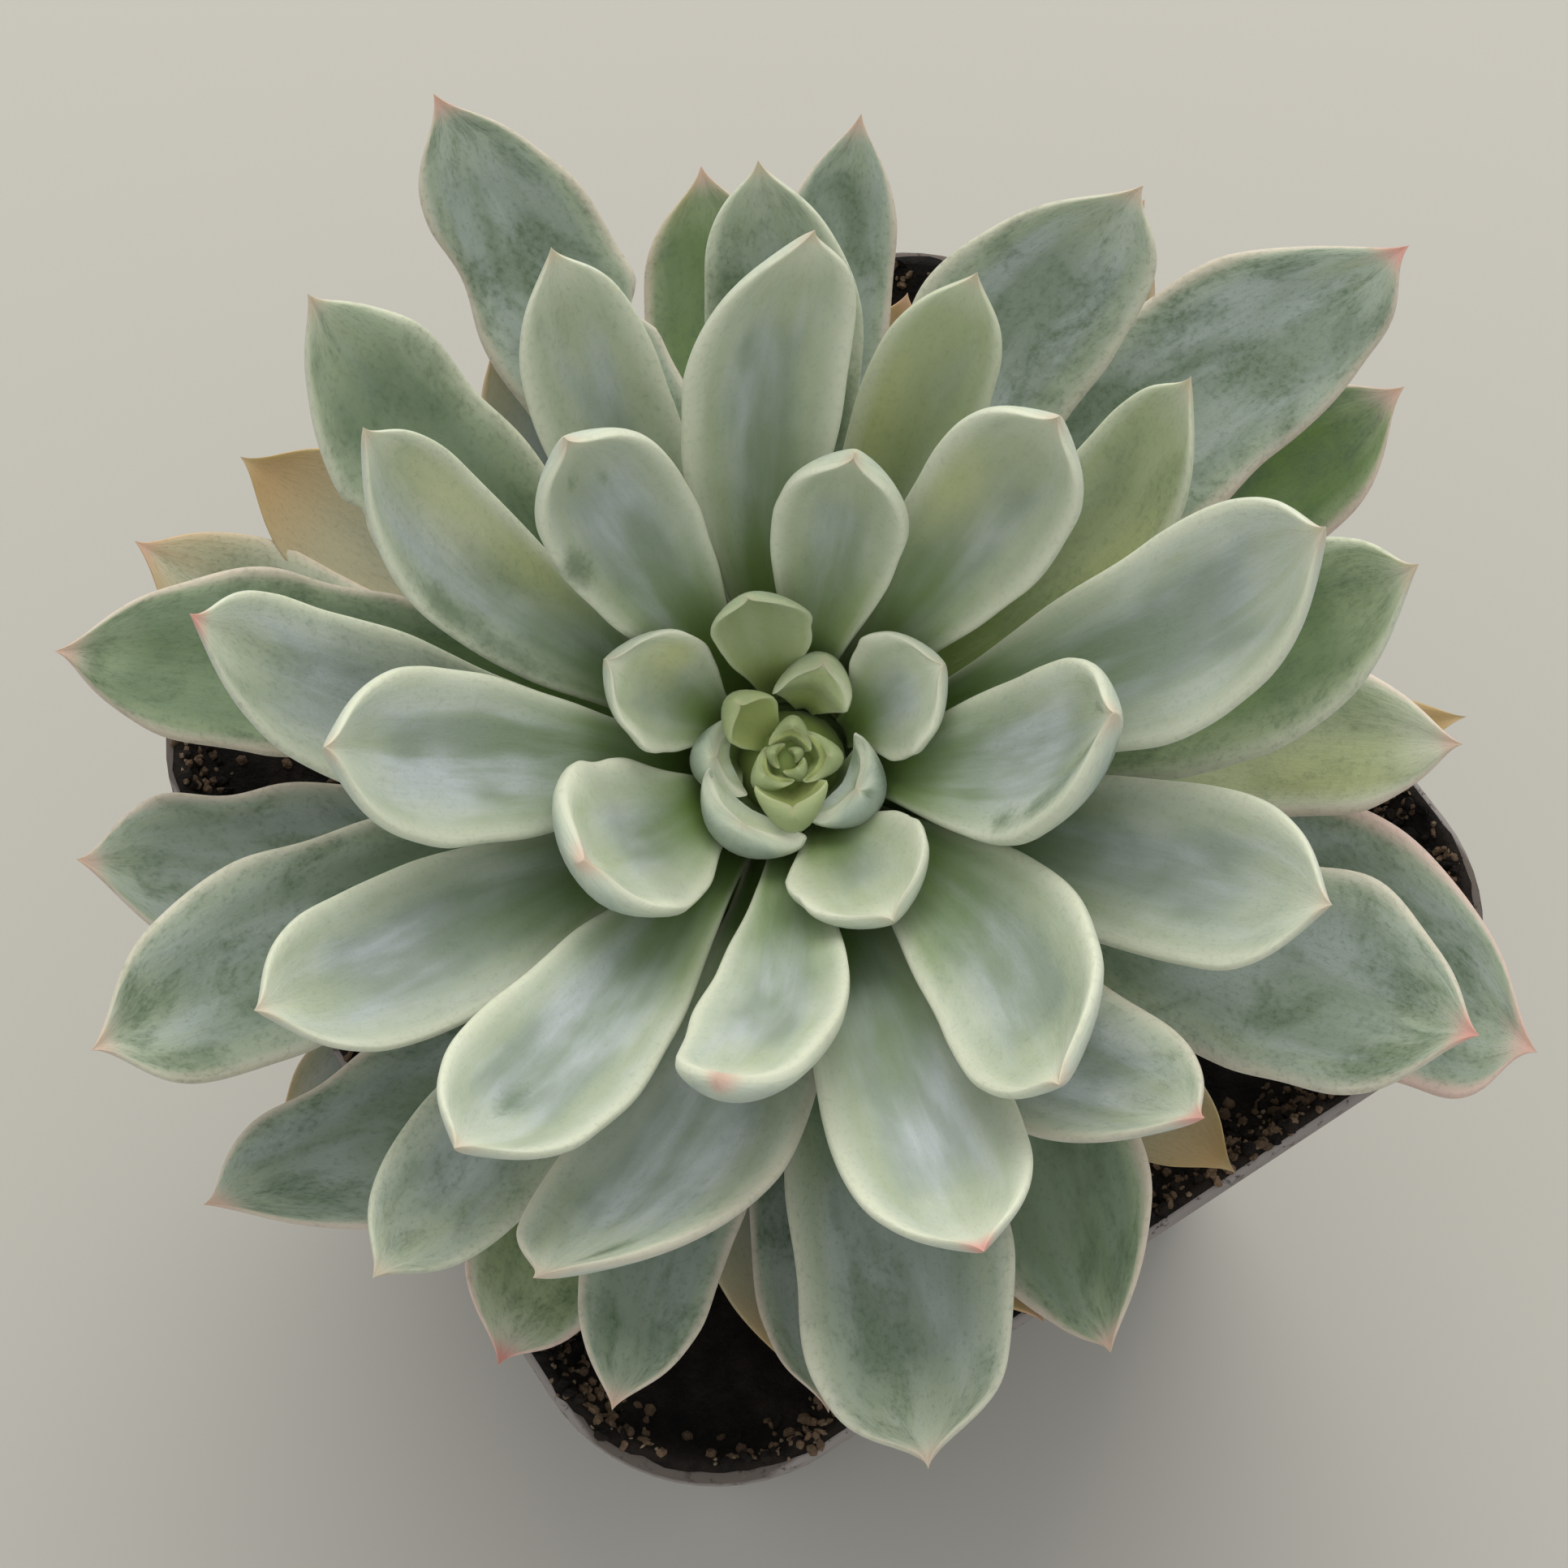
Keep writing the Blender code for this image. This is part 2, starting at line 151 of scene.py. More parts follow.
class Finish:
    """A material. Its constant values go straight onto the shader's sockets."""

    def __init__(self, name, constants):
        self.material = bpy.data.materials.new(name)
        self.material.use_nodes = True
        self.tree = self.material.node_tree
        self.shader = self.tree.nodes["Principled BSDF"]
        for socket, value in constants.items():
            self.shader.inputs[socket].default_value = value

    def node(self, kind, settings=None, inputs=None, output=0):
        """Add a node with its settings and the values or links of its sockets."""
        made = self.tree.nodes.new(kind)
        for key, value in (settings or {}).items():
            setattr(made, key, value)
        for key, value in (inputs or {}).items():
            self.feed(made.inputs[key], value)
        return Value(self, made.outputs[output])

    def feed(self, socket, value):
        """Link a value to a socket, or set the socket to a number or colour."""
        if isinstance(value, Value):
            self.tree.links.new(value.socket, socket)
        elif socket.type == "RGBA":
            socket.default_value = (*value, 1.0)
        else:
            socket.default_value = value

    def place(self):
        """Object coordinates."""
        return self.node("ShaderNodeTexCoord", output="Object")

    def attribute(self, name):
        return self.node("ShaderNodeAttribute", {"attribute_name": name}, output="Vector")

    def parts(self, vector):
        split = self.node("ShaderNodeSeparateXYZ", {}, {0: vector}).socket.node
        return [Value(self, socket) for socket in split.outputs]

    def stretch(self, vector, x, y, z):
        return self.node("ShaderNodeVectorMath", {"operation": "MULTIPLY"},
                         {0: vector, 1: (x, y, z)})

    def noise(self, vector, scale, detail=3.0, roughness=0.5, distortion=0.0):
        return self.node("ShaderNodeTexNoise", {}, {
            "Vector": vector, "Scale": scale, "Detail": detail, "Roughness": roughness,
            "Distortion": distortion})

    def cells(self, vector, scale):
        return self.node("ShaderNodeTexVoronoi", {}, {"Vector": vector, "Scale": scale},
                         output="Distance")

    def mix(self, share, first, second):
        return self.node("ShaderNodeMix", {"data_type": "RGBA", "clamp_factor": True},
                         {0: share, 6: first, 7: second}, output=2)

    def bump(self, height, distance, strength=1.0):
        return self.node("ShaderNodeBump", {}, {
            "Strength": strength, "Distance": distance, "Height": height})

    def wear(self, colour, roughness, normal):
        """Connect what changes over the surface."""
        self.feed(self.shader.inputs["Base Color"], colour)
        self.feed(self.shader.inputs["Roughness"], roughness)
        self.feed(self.shader.inputs["Normal"], normal)
        return self.material


# Colours of a leaf
# Deep green of a leaf's base: partly the leaf's own colour, partly painted shade where younger
# leaves overlap it
BASE_GREEN_AND_SHADE = (0.105, 0.190, 0.022)
FACE_GREEN = (0.252, 0.300, 0.240)
BLOOM = (0.455, 0.495, 0.500)
BUD_GREEN = (0.335, 0.395, 0.115)
INNER_MARGIN = (0.490, 0.540, 0.350)
GOLD = (0.500, 0.520, 0.240)
CREAM = (0.660, 0.675, 0.520)
DARK_GREEN = (0.080, 0.130, 0.060)
BACK_GREEN = (0.380, 0.450, 0.400)
BLUSH = (0.640, 0.470, 0.400)
TAN = (0.420, 0.385, 0.245)
ORANGE = (0.500, 0.320, 0.140)
TIP_CREAM = (0.620, 0.500, 0.360)
PINK = (0.680, 0.270, 0.240)
SCAR = (0.280, 0.150, 0.060)


def leaf_finish():
    """A waxy leaf: green flesh, powdery bloom in streaks, cream margins, dark mottling, and a
    deep green base; the base and the flesh green are partly painted shade.
    """
    skin = Finish("leaf_skin", {
        "Subsurface Weight": 0.15, "Subsurface Radius": (0.9, 1.1, 0.4),
        "Subsurface Scale": 0.0012, "Specular IOR Level": 0.35,
        "Sheen Weight": 0.12, "Sheen Roughness": 0.5})
    along, across, face = skin.parts(skin.attribute("leaf_place"))
    youth, cream, mottling = skin.parts(skin.attribute("leaf_tone"))
    dry, blush, tip = skin.parts(skin.attribute("leaf_wear"))
    patch, scar, gold = skin.parts(skin.attribute("leaf_marks"))
    flesh_and_shade, bloom, _ = skin.parts(skin.attribute("leaf_flesh_and_shade"))
    skin_mm = skin.attribute("leaf_skin")

    drift = skin.noise(skin.stretch(skin_mm, 0.10, 0.20, 1.0), 1.0, 2.0)
    streak = skin.noise(skin.stretch(skin_mm, 0.055, 0.34, 1.0), 1.0, 3.0, 0.5, 0.4)
    fibre = skin.noise(skin.stretch(skin_mm, 0.35, 2.4, 1.0), 1.0, 4.0, 0.6)
    blotch = skin.noise(skin.stretch(skin_mm, 0.13, 0.19, 1.0), 1.0, 4.0, 0.6, 0.6)
    grain = skin.noise(skin.stretch(skin_mm, 1.7, 2.1, 1.0), 1.0, 6.0, 0.68)
    pores = skin.noise(skin_mm, 5.5, 3.0, 0.7)

    edge = abs(across)
    rim = (1 - edge).least((1 - along) * 2.6)
    warp = (drift - 0.5) * 0.42 + (streak - 0.5) * 0.22
    band = (0.10 + cream * 0.38) * (0.30 + drift * 1.3)
    near_rim = 1 - (rim + warp * rim.rise(0.0, 0.25)).rise(0.0, band)
    outer_rim = 1 - (rim + (drift - 0.5) * 0.16).rise(0.0, 0.18)
    inner_rim = 1 - (rim + warp).rise(band * 0.9, band * 2.1)
    # Painted shade, in part: the deep green towards the base stands partly for the shade
    # between overlapping leaves, and reaches further on older leaves
    base = 1 - (along + (drift - 0.5) * 0.3 + edge * 0.06).rise(0.12, 0.68)
    upper = face.rise(-0.25, 0.25)

    powder = (streak + (drift - 0.5) * 0.8 + (grain - 0.5) * 0.25).rise(0.26, 0.80)
    colour = skin.mix(powder * bloom, FACE_GREEN, BLOOM)
    colour = skin.mix(fibre.rise(0.35, 0.75) * 0.22, colour, FACE_GREEN)
    # Flesh green: partly the leaf's own green, partly painted shade that darkens leaves lying
    # under others
    colour = skin.mix(flesh_and_shade * (0.55 + drift * 0.6), colour, BASE_GREEN_AND_SHADE)
    colour = skin.mix(inner_rim * 0.48 * (0.4 + cream), colour, INNER_MARGIN)
    colour = skin.mix(gold * (0.40 + streak * 0.6), colour, GOLD)
    # Partly painted shade at the leaf's base
    colour = skin.mix(base * 0.97, colour, BASE_GREEN_AND_SHADE)
    colour = skin.mix(youth, colour, BUD_GREEN)
    colour = skin.mix(near_rim * (0.22 + cream * 0.95) * (0.70 + streak * 0.6)
                      * (1 - youth * 0.6) * (1 - base * 0.75), colour, CREAM)
    colour = skin.mix(outer_rim * (0.05 + cream * 0.35) * (0.4 + drift) * (1 - youth),
                      colour, CREAM)
    back = skin.mix(near_rim * 0.6, BACK_GREEN, CREAM)
    back = skin.mix(youth * 0.8, back, BUD_GREEN)
    # The back's base is darker green too, partly painted shade
    back = skin.mix(1 - along.rise(0.05, 0.5), back, BASE_GREEN_AND_SHADE)
    colour = skin.mix(upper, back, colour)

    freckles = blotch.rise(0.42, 0.68) * 0.80 + grain.rise(0.46, 0.70) * 0.16
    freckles = freckles * (1 - near_rim * 0.6) * (0.62 + grain.rise(0.34, 0.66) * 0.38)
    colour = skin.mix(freckles * mottling, colour, DARK_GREEN)
    spots = (patch + (blotch - 0.5) * 1.2 + (grain - 0.5) * 0.7).rise(0.05, 1.15)
    colour = skin.mix(spots * patch.rise(0.0, 0.35) * 0.70, colour, DARK_GREEN)

    colour = skin.mix(outer_rim * blush, colour, BLUSH)
    dying = (along + edge * 0.25 + warp * 0.8 + dry * 1.5).rise(1.15, 1.75)
    colour = skin.mix(dying, colour, skin.mix(along.rise(0.75, 1.0), TAN, ORANGE))
    colour = skin.mix(scar, colour, SCAR)
    colour = skin.mix(along.rise(0.950, 0.992) * (0.30 + tip * 0.65), colour,
                      skin.mix(tip, TIP_CREAM, PINK))
    colour = skin.mix(pores.rise(0.60, 0.76) * 0.22, colour, DARK_GREEN)
    colour = skin.mix(grain.rise(0.48, 0.74) * (0.14 + mottling * 0.16), colour, DARK_GREEN)

    relief = grain * 0.35 + fibre * 0.45 + pores * 0.20
    roughness = 0.46 + streak * 0.16 + grain * 0.06 - base * 0.06
    return skin.wear(colour, roughness, skin.bump(relief, 0.00016, 0.55))


def soil_finish(name, dark, light):
    """Peat: near black where damp, brown where dry, with a crumbly relief."""
    soil = Finish(name, {"Specular IOR Level": 0.2})
    place = soil.place()
    clods = soil.noise(place, 380.0, 5.0, 0.65)
    crumbs = soil.noise(place, 1600.0, 4.0, 0.7)
    patches = soil.noise(place, 90.0, 2.0)
    colour = soil.mix((clods * 0.6 + patches * 0.6).rise(0.42, 0.80), dark, light)
    colour = soil.mix(crumbs.rise(0.58, 0.72) * 0.5, colour, light)
    return soil.wear(colour, 0.86 + crumbs * 0.12, soil.bump(clods + crumbs, 0.0005))


def pot_finish():
    """Black plastic under a film of grey-brown dust, with splashed soil near the lip."""
    plastic = Finish("dusty_black_plastic", {"Specular IOR Level": 0.4})
    place = plastic.place()
    across, along, height = plastic.parts(place)
    facing = plastic.parts(plastic.node("ShaderNodeNewGeometry", output="Normal"))[2]
    film = plastic.noise(place, 70.0, 5.0, 0.6)
    runs = plastic.noise(plastic.stretch(place, 1.0, 1.0, 0.12), 420.0, 4.0, 0.6)
    specks = plastic.noise(place, 2600.0, 3.0, 0.7)
    splash = plastic.noise(place, 900.0, 5.0, 0.75)
    scuffs = plastic.noise(plastic.stretch(place, 1.0, 1.0, 9.0), 160.0, 3.0, 0.6)
    near_lip = height.rise(0.060, 0.080)
    dust = film * 0.7 + runs * 0.5 + near_lip * 0.22 + facing.most(0.0) * 0.35
    dust = dust.rise(0.35, 1.15)
    colour = plastic.mix(dust, (0.032, 0.029, 0.029), (0.215, 0.192, 0.176))
    colour = plastic.mix(height.rise(0.0760, 0.0775) * (0.3 + film * 0.5), colour,
                         (0.270, 0.240, 0.222))
    colour = plastic.mix(scuffs.rise(0.60, 0.72) * 0.30, colour, (0.210, 0.195, 0.180))
    reach = abs(across).most(abs(along))
    crust = 1 - (reach + (film - 0.5) * 0.0014).rise(0.0441, 0.0446)
    crust = crust * height.rise(0.0785, 0.0795)
    dirt = (splash.rise(0.58, 0.66) * height.rise(0.052, 0.079)).most(crust)
    colour = plastic.mix(dirt * 0.75, colour, (0.060, 0.042, 0.030))
    colour = plastic.mix(specks.rise(0.64, 0.74) * 0.35, colour, (0.260, 0.225, 0.180))
    roughness = 0.42 + dust * 0.35 + dirt * 0.1
    relief = splash.rise(0.56, 0.70) * 0.6 + specks * 0.15 + runs * 0.1
    return plastic.wear(colour, roughness, plastic.bump(relief, 0.00022))


def stem_finish():
    """Corky skin with the dry scars of shed leaves."""
    bark = Finish("stem_bark", {"Specular IOR Level": 0.25})
    place = bark.place()
    scars = bark.cells(bark.stretch(place, 1.0, 1.0, 1.7), 330.0)
    cork = bark.noise(place, 900.0, 5.0, 0.7)
    colour = bark.mix((scars * 1.2 + cork * 0.5).rise(0.3, 1.0),
                      (0.115, 0.075, 0.042), (0.300, 0.225, 0.130))
    colour = bark.mix(bark.parts(place)[2].rise(0.092, 0.100), colour, (0.075, 0.110, 0.030))
    return bark.wear(colour, 0.75 + cork * 0.15, bark.bump(scars + cork * 0.5, 0.0006))


# ---- leaf skeletons

def smooth_curve(knots, values, wanted):
    """Values at the wanted places, on a smooth curve through the values at the knots."""
    values = np.asarray(values, float)
    flat = values.reshape(len(knots), -1)
    slopes = np.gradient(flat, knots, axis=0)
    at = np.clip(np.searchsorted(knots, wanted, side="right") - 1, 0, len(knots) - 2)
    width = (knots[at + 1] - knots[at])[:, None]
    t = (wanted - knots[at])[:, None] / width
    made = ((2 * t ** 3 - 3 * t ** 2 + 1) * flat[at]
            + (t ** 3 - 2 * t ** 2 + t) * width * slopes[at]
            + (3 * t ** 2 - 2 * t ** 3) * flat[at + 1]
            + (t ** 3 - t ** 2) * width * slopes[at + 1])
    return made.reshape((len(wanted),) + values.shape[1:])


def step(value, low, high):
    """0 below low, 1 above high and a soft step between."""
    t = np.clip((value - low) / (high - low), 0.0, 1.0)
    return t * t * (3 - 2 * t)


def unit(vectors):
    """The same directions at length 1."""
    vectors = np.asarray(vectors, float)
    return vectors / np.maximum(np.linalg.norm(vectors, axis=-1, keepdims=True), 1e-12)


class Skeleton:
    """What a leaf is drawn on: at each place along it, from base to tip, its middle, its
    half width to the left, the way its face looks, its thickness, and how far its margins
    stand above its middle. In metres."""

    def __init__(self, along, middle, side, up, thick, cup):
        self.along = np.asarray(along, float)
        self.middle = np.asarray(middle, float)
        self.side = np.asarray(side, float)
        self.up = np.asarray(up, float)
        self.thick = np.asarray(thick, float)
        self.cup = np.asarray(cup, float)

    def length(self):
        return float(np.linalg.norm(np.diff(self.middle, axis=0), axis=1).sum())

    def half_width(self):
        return float(np.linalg.norm(self.side, axis=1).max())

    def at(self, wanted):
        """The skeleton at other places along the leaf."""
        inner = [smooth_curve(self.along, values, wanted)
                 for values in (self.middle, self.side, self.up, self.thick, self.cup)]
        inner[2] = unit(inner[2])
        return Skeleton(wanted, *inner)


def merged(node):
    """A CAD node's mesh with its corners joined."""
    bm = bmesh.new()
    bm.from_mesh(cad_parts[node].data)
    bmesh.ops.remove_doubles(bm, verts=bm.verts, dist=1e-6)
    return bm


def rings_from_tip(start, count, size):
    """The rings of corners round a leaf, found outwards from its tip, or None."""
    seen = {start}
    layers = [[start]]
    while layers[-1]:
        following = []
        for vert in layers[-1]:
            for edge in vert.link_edges:
                other = edge.other_vert(vert)
                if other not in seen:
                    seen.add(other)
                    following.append(other)
        layers.append(following)
    rings = layers[1:-1]
    if len(rings) < count or any(len(ring) != size for ring in rings[:count]):
        return None
    return rings[:count]


def round_in_order(points, near_to):
    """Points of one ring in order round it, starting and turning as the ring before."""
    centre = points.mean(0)
    _, _, axes = np.linalg.svd(points - centre)
    flat = (points - centre) @ axes[:2].T
    ordered = points[np.argsort(np.arctan2(flat[:, 1], flat[:, 0]))]
    if near_to is None:
        return ordered
    shifted = near_to - near_to.mean(0) + centre
    choices = [np.roll(turned, k, axis=0) for turned in (ordered, ordered[::-1])
               for k in range(len(points))]
    return min(choices, key=lambda ring: np.linalg.norm(ring - shifted, axis=1).sum())


def skeleton_of(node, look_from):
    """The skeleton of a CAD leaf, which is rings of corners and a tip."""
    bm = merged(node)
    for vert in bm.verts:
        if len(vert.link_edges) == CAD_SIDES:
            rings = rings_from_tip(vert, CAD_RINGS, CAD_SIDES)
            if rings:
                tip = np.array(vert.co)
                break
    else:
        raise ValueError(f"{node} isn't made of rings")
    ordered, before = [], None
    for ring in rings:
        before = round_in_order(np.array([v.co for v in ring]), before)
        ordered.append(before)
    bm.free()
    cage = np.array(ordered[::-1])
    half, quarter = CAD_SIDES // 2, CAD_SIDES // 4
    spans = np.linalg.norm(cage[:, :half] - cage[:, half:], axis=2).sum(0)
    cage = np.roll(cage, -int(np.argmax(spans)), axis=1)
    left, face, right, back = (cage[:, k * quarter] for k in range(4))
    if ((face - back) * (look_from - cage.mean(1))).sum() < 0:
        face, back = back, face
    along = unit(np.gradient(cage.mean(1), axis=0))
    up = unit(face - back)
    if (np.cross(up, along) * (left - right)).sum() < 0:
        left, right = right, left
    thick = np.linalg.norm(face - back, axis=1) / (FACE_HEIGHT + BACK_DEPTH)
    middle = back + up * (thick * BACK_DEPTH)[:, None]
    cup = (((left + right) / 2 - middle) * up).sum(1)
    middle = np.vstack([middle, tip])
    steps = np.linalg.norm(np.diff(middle, axis=0), axis=1)
    return Skeleton(np.append(0, np.cumsum(steps)) / steps.sum(), middle,
                    np.vstack([(left - right) / 2, np.zeros(3)]), np.vstack([up, up[-1]]),
                    np.append(thick, 0), np.append(cup, 0))


class Rosette:
    """The spiral that all leaves stand on: its axis and a direction to count turns from."""

    def __init__(self, top, axis, start):
        self.top = np.asarray(top, float)
        self.axis = unit(axis)
        self.east = unit(start - (start @ self.axis) * self.axis)
        self.north = np.cross(self.axis, self.east)

    def leaf(self, model, turn, reach, depth, length, width, thick, tilt, bow, cup, bend=0.0):
        """A skeleton with the outline of another leaf, placed on the stem. Sizes are in
        millimetres and angles in degrees; bend moves the tip to the left."""
        angle, rise = math.radians(turn), math.radians(tilt)
        out = self.east * math.cos(angle) + self.north * math.sin(angle)
        left = np.cross(self.axis, out)
        ahead = out * math.cos(rise) + self.axis * math.sin(rise)
        up = self.axis * math.cos(rise) - out * math.sin(rise)
        u = model.along
        share = np.linalg.norm(model.side, axis=1) / model.half_width()
        deep = model.thick / model.thick.max()
        sag = -bow * 6.75 * length * u * u * (1 - u)
        slope = -bow * 6.75 * (2 * u - 3 * u * u)
        base = self.top + out * reach * MM - self.axis * depth * MM
        middle = base + (np.outer(length * u, ahead) + np.outer(sag, up)
                         + np.outer(bend * u ** 3, left)) * MM
        faces = unit(up - np.outer(slope, ahead))
        half = share * width / 2 * MM
        return Skeleton(u, middle, np.outer(half, left), faces, deep * thick * MM, cup * half)


# ---- leaf surfaces

class Habit:
    """How one leaf differs from the plain form, and how it is coloured."""

    def __init__(self, number, **given):
        self.number = number
        self.hook = 0.0        # degrees that the tip bends up over the face
        self.hook_from = 0.86  # where along the leaf the bend starts
        self.blunt = 0.0       # green flesh that shows through, partly painted shade on leaves that lie under others
        self.point = 0.60      # how much the last bit is drawn in to a fine point
        self.plump = 1.0       # thickness against the CAD leaf's
        self.bulb = 0.0        # how thick it stays towards its tip
        self.reach = 1.0       # length against the CAD leaf's
        self.broad = 1.0       # width against the CAD leaf's
        self.flesh_and_shade = 0.0       # green flesh that shows through
        self.bloom = 1.0       # powdery bloom
        self.roll = (0.0, 0.0)  # how far the left and the right margin curl in
        self.wave = 0.0        # ripple of the margins, in millimetres
        self.dent = None       # place and depth of a notch in a margin
        self.youth = 0.0       # yellow-green of the youngest leaves
        self.cream = 0.3       # cream margins
        self.mottling = 0.0    # dark green freckles
        self.dry = 0.0         # how far the leaf has dried from its tip
        self.blush = 0.0       # pink margins
        self.tip = 0.0         # pink of the very tip
        self.patches = ()      # dark patches: place along, place across, size
        self.scars = ()        # brown scars, given in the same way
        self.glows = ()        # soft yellow zones, given in the same way
        for name, value in given.items():
            setattr(self, name, value)


def fold_tip(points, bones, u, habit):
    """Bend the end of the leaf round an arc: up over its face, or back where the hook is
    negative."""
    if not habit.hook:
        return points
    start = habit.hook_from
    last = np.searchsorted(u, start)
    origin = bones.middle[last]
    ahead = unit(bones.middle[last] - bones.middle[last - 3])
    up = bones.up[last]
    total = math.radians(habit.hook)
    radius = (1 - start) * np.linalg.norm(bones.middle[-1] - bones.middle[0]) / total
    for ring in range(last, len(u)):
        angle = total * (u[ring] - start) / (1 - start)
        turned_ahead = ahead * math.cos(angle) + up * math.sin(angle)
        turned_up = up * math.cos(angle) - ahead * math.sin(angle)
        centre = origin + radius * (ahead * math.sin(angle) + up * (1 - math.cos(angle)))
        offset = points[ring] - bones.middle[ring]
        points[ring] = (centre + np.outer(offset @ ahead, turned_ahead)
                        + np.outer(offset @ up, turned_up)
                        + offset - np.outer(offset @ ahead, ahead) - np.outer(offset @ up, up))
    return points


def leaf_grid(skeleton, habit, rings=LEAF_RINGS, sides=LEAF_SIDES):
    """Points of a leaf's surface, ring by ring, and each one's place along, place across
    and height over the middle."""
    u = 1 - (1 - np.linspace(0, 1, rings + 1)[:-1]) ** TIP_CROWDING
    bones = skeleton.at(u)
    bones.middle = skeleton.middle[0] + (bones.middle - skeleton.middle[0]) * habit.reach
    bones.side = bones.side * habit.broad
    theta = np.arange(sides) * 2 * math.pi / sides
    across = np.cos(theta)
    high = np.sin(theta)
    face = (FACE_HEIGHT + 0.18 * across ** 2) * np.sqrt(np.maximum(high, 0))
    back = BACK_DEPTH * np.minimum(high, 0) * (1 - 0.12 * across ** 2)
    seed = habit.number * 11.7

    half = np.linalg.norm(bones.side, axis=1)
    fuller = step(u, 0.66, 0.86) * (1 - step(u, 0.93, 0.99)) * habit.blunt
    swell = 1 + fuller * 0.50 * (1 - half / half.max())
    swell = swell * (1 - habit.point * np.exp(-((1 - u) / 0.045) ** 1.4))
    thick = bones.thick * habit.plump
    rounded = np.sqrt(np.clip(1 - (np.maximum(u - 0.7, 0) / 0.3) ** 2, 0, 1))
    thick = np.maximum(thick, habit.bulb * thick.max() * rounded * step(u, 0.2, 0.6))
    points = np.zeros((rings, sides, 3))
    for ring in range(rings):
        left = unit(bones.side[ring])
        up = bones.up[ring]
        reach = half[ring] * swell[ring] * across
        ripple = np.array([noise.noise(Vector((u[ring] * 6.0, seed, 3.0 * side)))
                           for side in (1, -1)])
        margin = np.where(across > 0, ripple[0], ripple[1]) * np.abs(across) ** 3
        fade = step(u[ring], 0.15, 0.45) * (1 - step(u[ring], 0.93, 1.0))
        reach = reach * (1 + 0.32 * margin * fade * (0.10 + habit.wave))
        full = 1 + 0.9 * habit.bulb * step(u[ring], 0.45, 0.80)
        lift = (face * full + back) * thick[ring] + bones.cup[ring] * across ** 2
        pillow = math.radians(max(0, habit.hook)) * 0.32 * half.max()
        pillow *= math.exp(-((u[ring] - habit.hook_from + 0.03) / 0.16) ** 2)
        lift = lift + pillow * np.maximum(high, 0) * (1 - across ** 2)
        lift = lift + margin * fade * habit.wave * 1.6 * MM
        curl = np.where(across > 0, habit.roll[0], habit.roll[1]) * step(u[ring], 0.25, 0.8)
        bent = np.maximum(np.abs(across) - 0.35, 0) ** 2 * curl
        lift = lift + bent * half[ring] * 2.4
        reach = reach * (1 - bent * 0.9)
        groove = np.exp(-(across / 0.30) ** 2) * (high > 0) * fade
        lift = lift - groove * 0.10 * thick[ring]
        points[ring] = bones.middle[ring] + np.outer(reach, left) + np.outer(lift, up)
    if habit.dent:
        place, side, depth = habit.dent
        bite = np.exp(-((u - place) / 0.025) ** 2)
        near = np.maximum(across * side, 0) ** 4
        points -= (bite[:, None, None] * near[None, :, None] * side * depth * MM
                   * unit(bones.side)[:, None, :])
    points = fold_tip(points, bones, u, habit)
    tip = skeleton.middle[0] + (skeleton.middle[-1] - skeleton.middle[0]) * habit.reach
    if habit.hook:
        tip = points[-1].mean(0) + (points[-1].mean(0) - points[-2].mean(0))
    return u, across, high, points, tip


def spot(u, across, place, side, size):
    """How strongly a soft round mark shows at a place on the leaf."""
    return math.exp(-((u - place) / size) ** 2 - ((across - side) / (size * 3.2)) ** 2)


def add_leaf(bm, skeleton, habit, rings=LEAF_RINGS, sides=LEAF_SIDES):
    """Add one leaf's closed surface to a bmesh, with the attributes that its skin reads."""
    u, across, high, points, tip = leaf_grid(skeleton, habit, rings, sides)
    names = ("leaf_place", "leaf_skin", "leaf_tone", "leaf_wear", "leaf_marks", "leaf_flesh_and_shade")
    layers = [bm.verts.layers.float_vector.get(name) or bm.verts.layers.float_vector.new(name)
              for name in names]
    length = skeleton.length() / MM
    half = skeleton.half_width() / MM
    tone = (habit.youth, habit.cream, habit.mottling)
    wear = (habit.dry, habit.blush, habit.tip)
    flesh_and_shade = (habit.flesh_and_shade, habit.bloom, 0.0)

    def corner(point, place, side, height):
        vert = bm.verts.new(point)
        patch = sum(spot(place, side, *given) for given in habit.patches)
        scar = sum(spot(place, side, *given) for given in habit.scars)
        glow = sum(spot(place, side, *given) for given in habit.glows)
        marks = (min(1.0, patch), min(1.0, scar), min(1.0, glow))
        skin = (place * length, side * half, habit.number * 7.31 + 2.0 * (height < 0))
        values = ((place, side, height), skin, tone, wear, marks, flesh_and_shade)
        for layer, value in zip(layers, values):
            vert[layer] = value
        return vert

    grid = [[corner(points[r, s], u[r], across[s], high[s]) for s in range(sides)]
            for r in range(rings)]
    end = corner(tip, 1.0, 0.0, 0.0)
    for lower, upper in zip(grid, grid[1:]):
        for s in range(sides):
            k = (s + 1) % sides
            bm.faces.new((lower[s], upper[s], upper[k], lower[k]))
    for s in range(sides):
        bm.faces.new((grid[-1][s], end, grid[-1][(s + 1) % sides]))
    bm.faces.new(grid[0])


def piece_from(bm, name, material, node=None):
    """Finish a bmesh as a piece that rides on the part."""
    bmesh.ops.recalc_face_normals(bm, faces=bm.faces)
    mesh = bpy.data.meshes.new(name)
    bm.to_mesh(mesh)
    bm.free()
    mesh.shade_smooth()
    mesh.materials.append(material)
    made = bpy.data.objects.new(name, mesh)
    bpy.context.scene.collection.objects.link(made)
    return settle(made, node)


def settle(made, node):
    """Let a piece ride on the part, in the place of a CAD node where it has one."""
    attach(made, "root")
    if node:
        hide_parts(node)
    return made


# ---- the rosette

def stem_axis():
    """The stem's top end and its direction upwards."""
    bm = merged("stem")
    points = np.array([v.co for v in bm.verts])
    bm.free()
    centre = points.mean(0)
    axis = np.linalg.svd(points - centre)[2][0]
    axis = axis * math.copysign(1, axis[2])
    return centre + axis * ((points - centre) @ axis).max(), axis


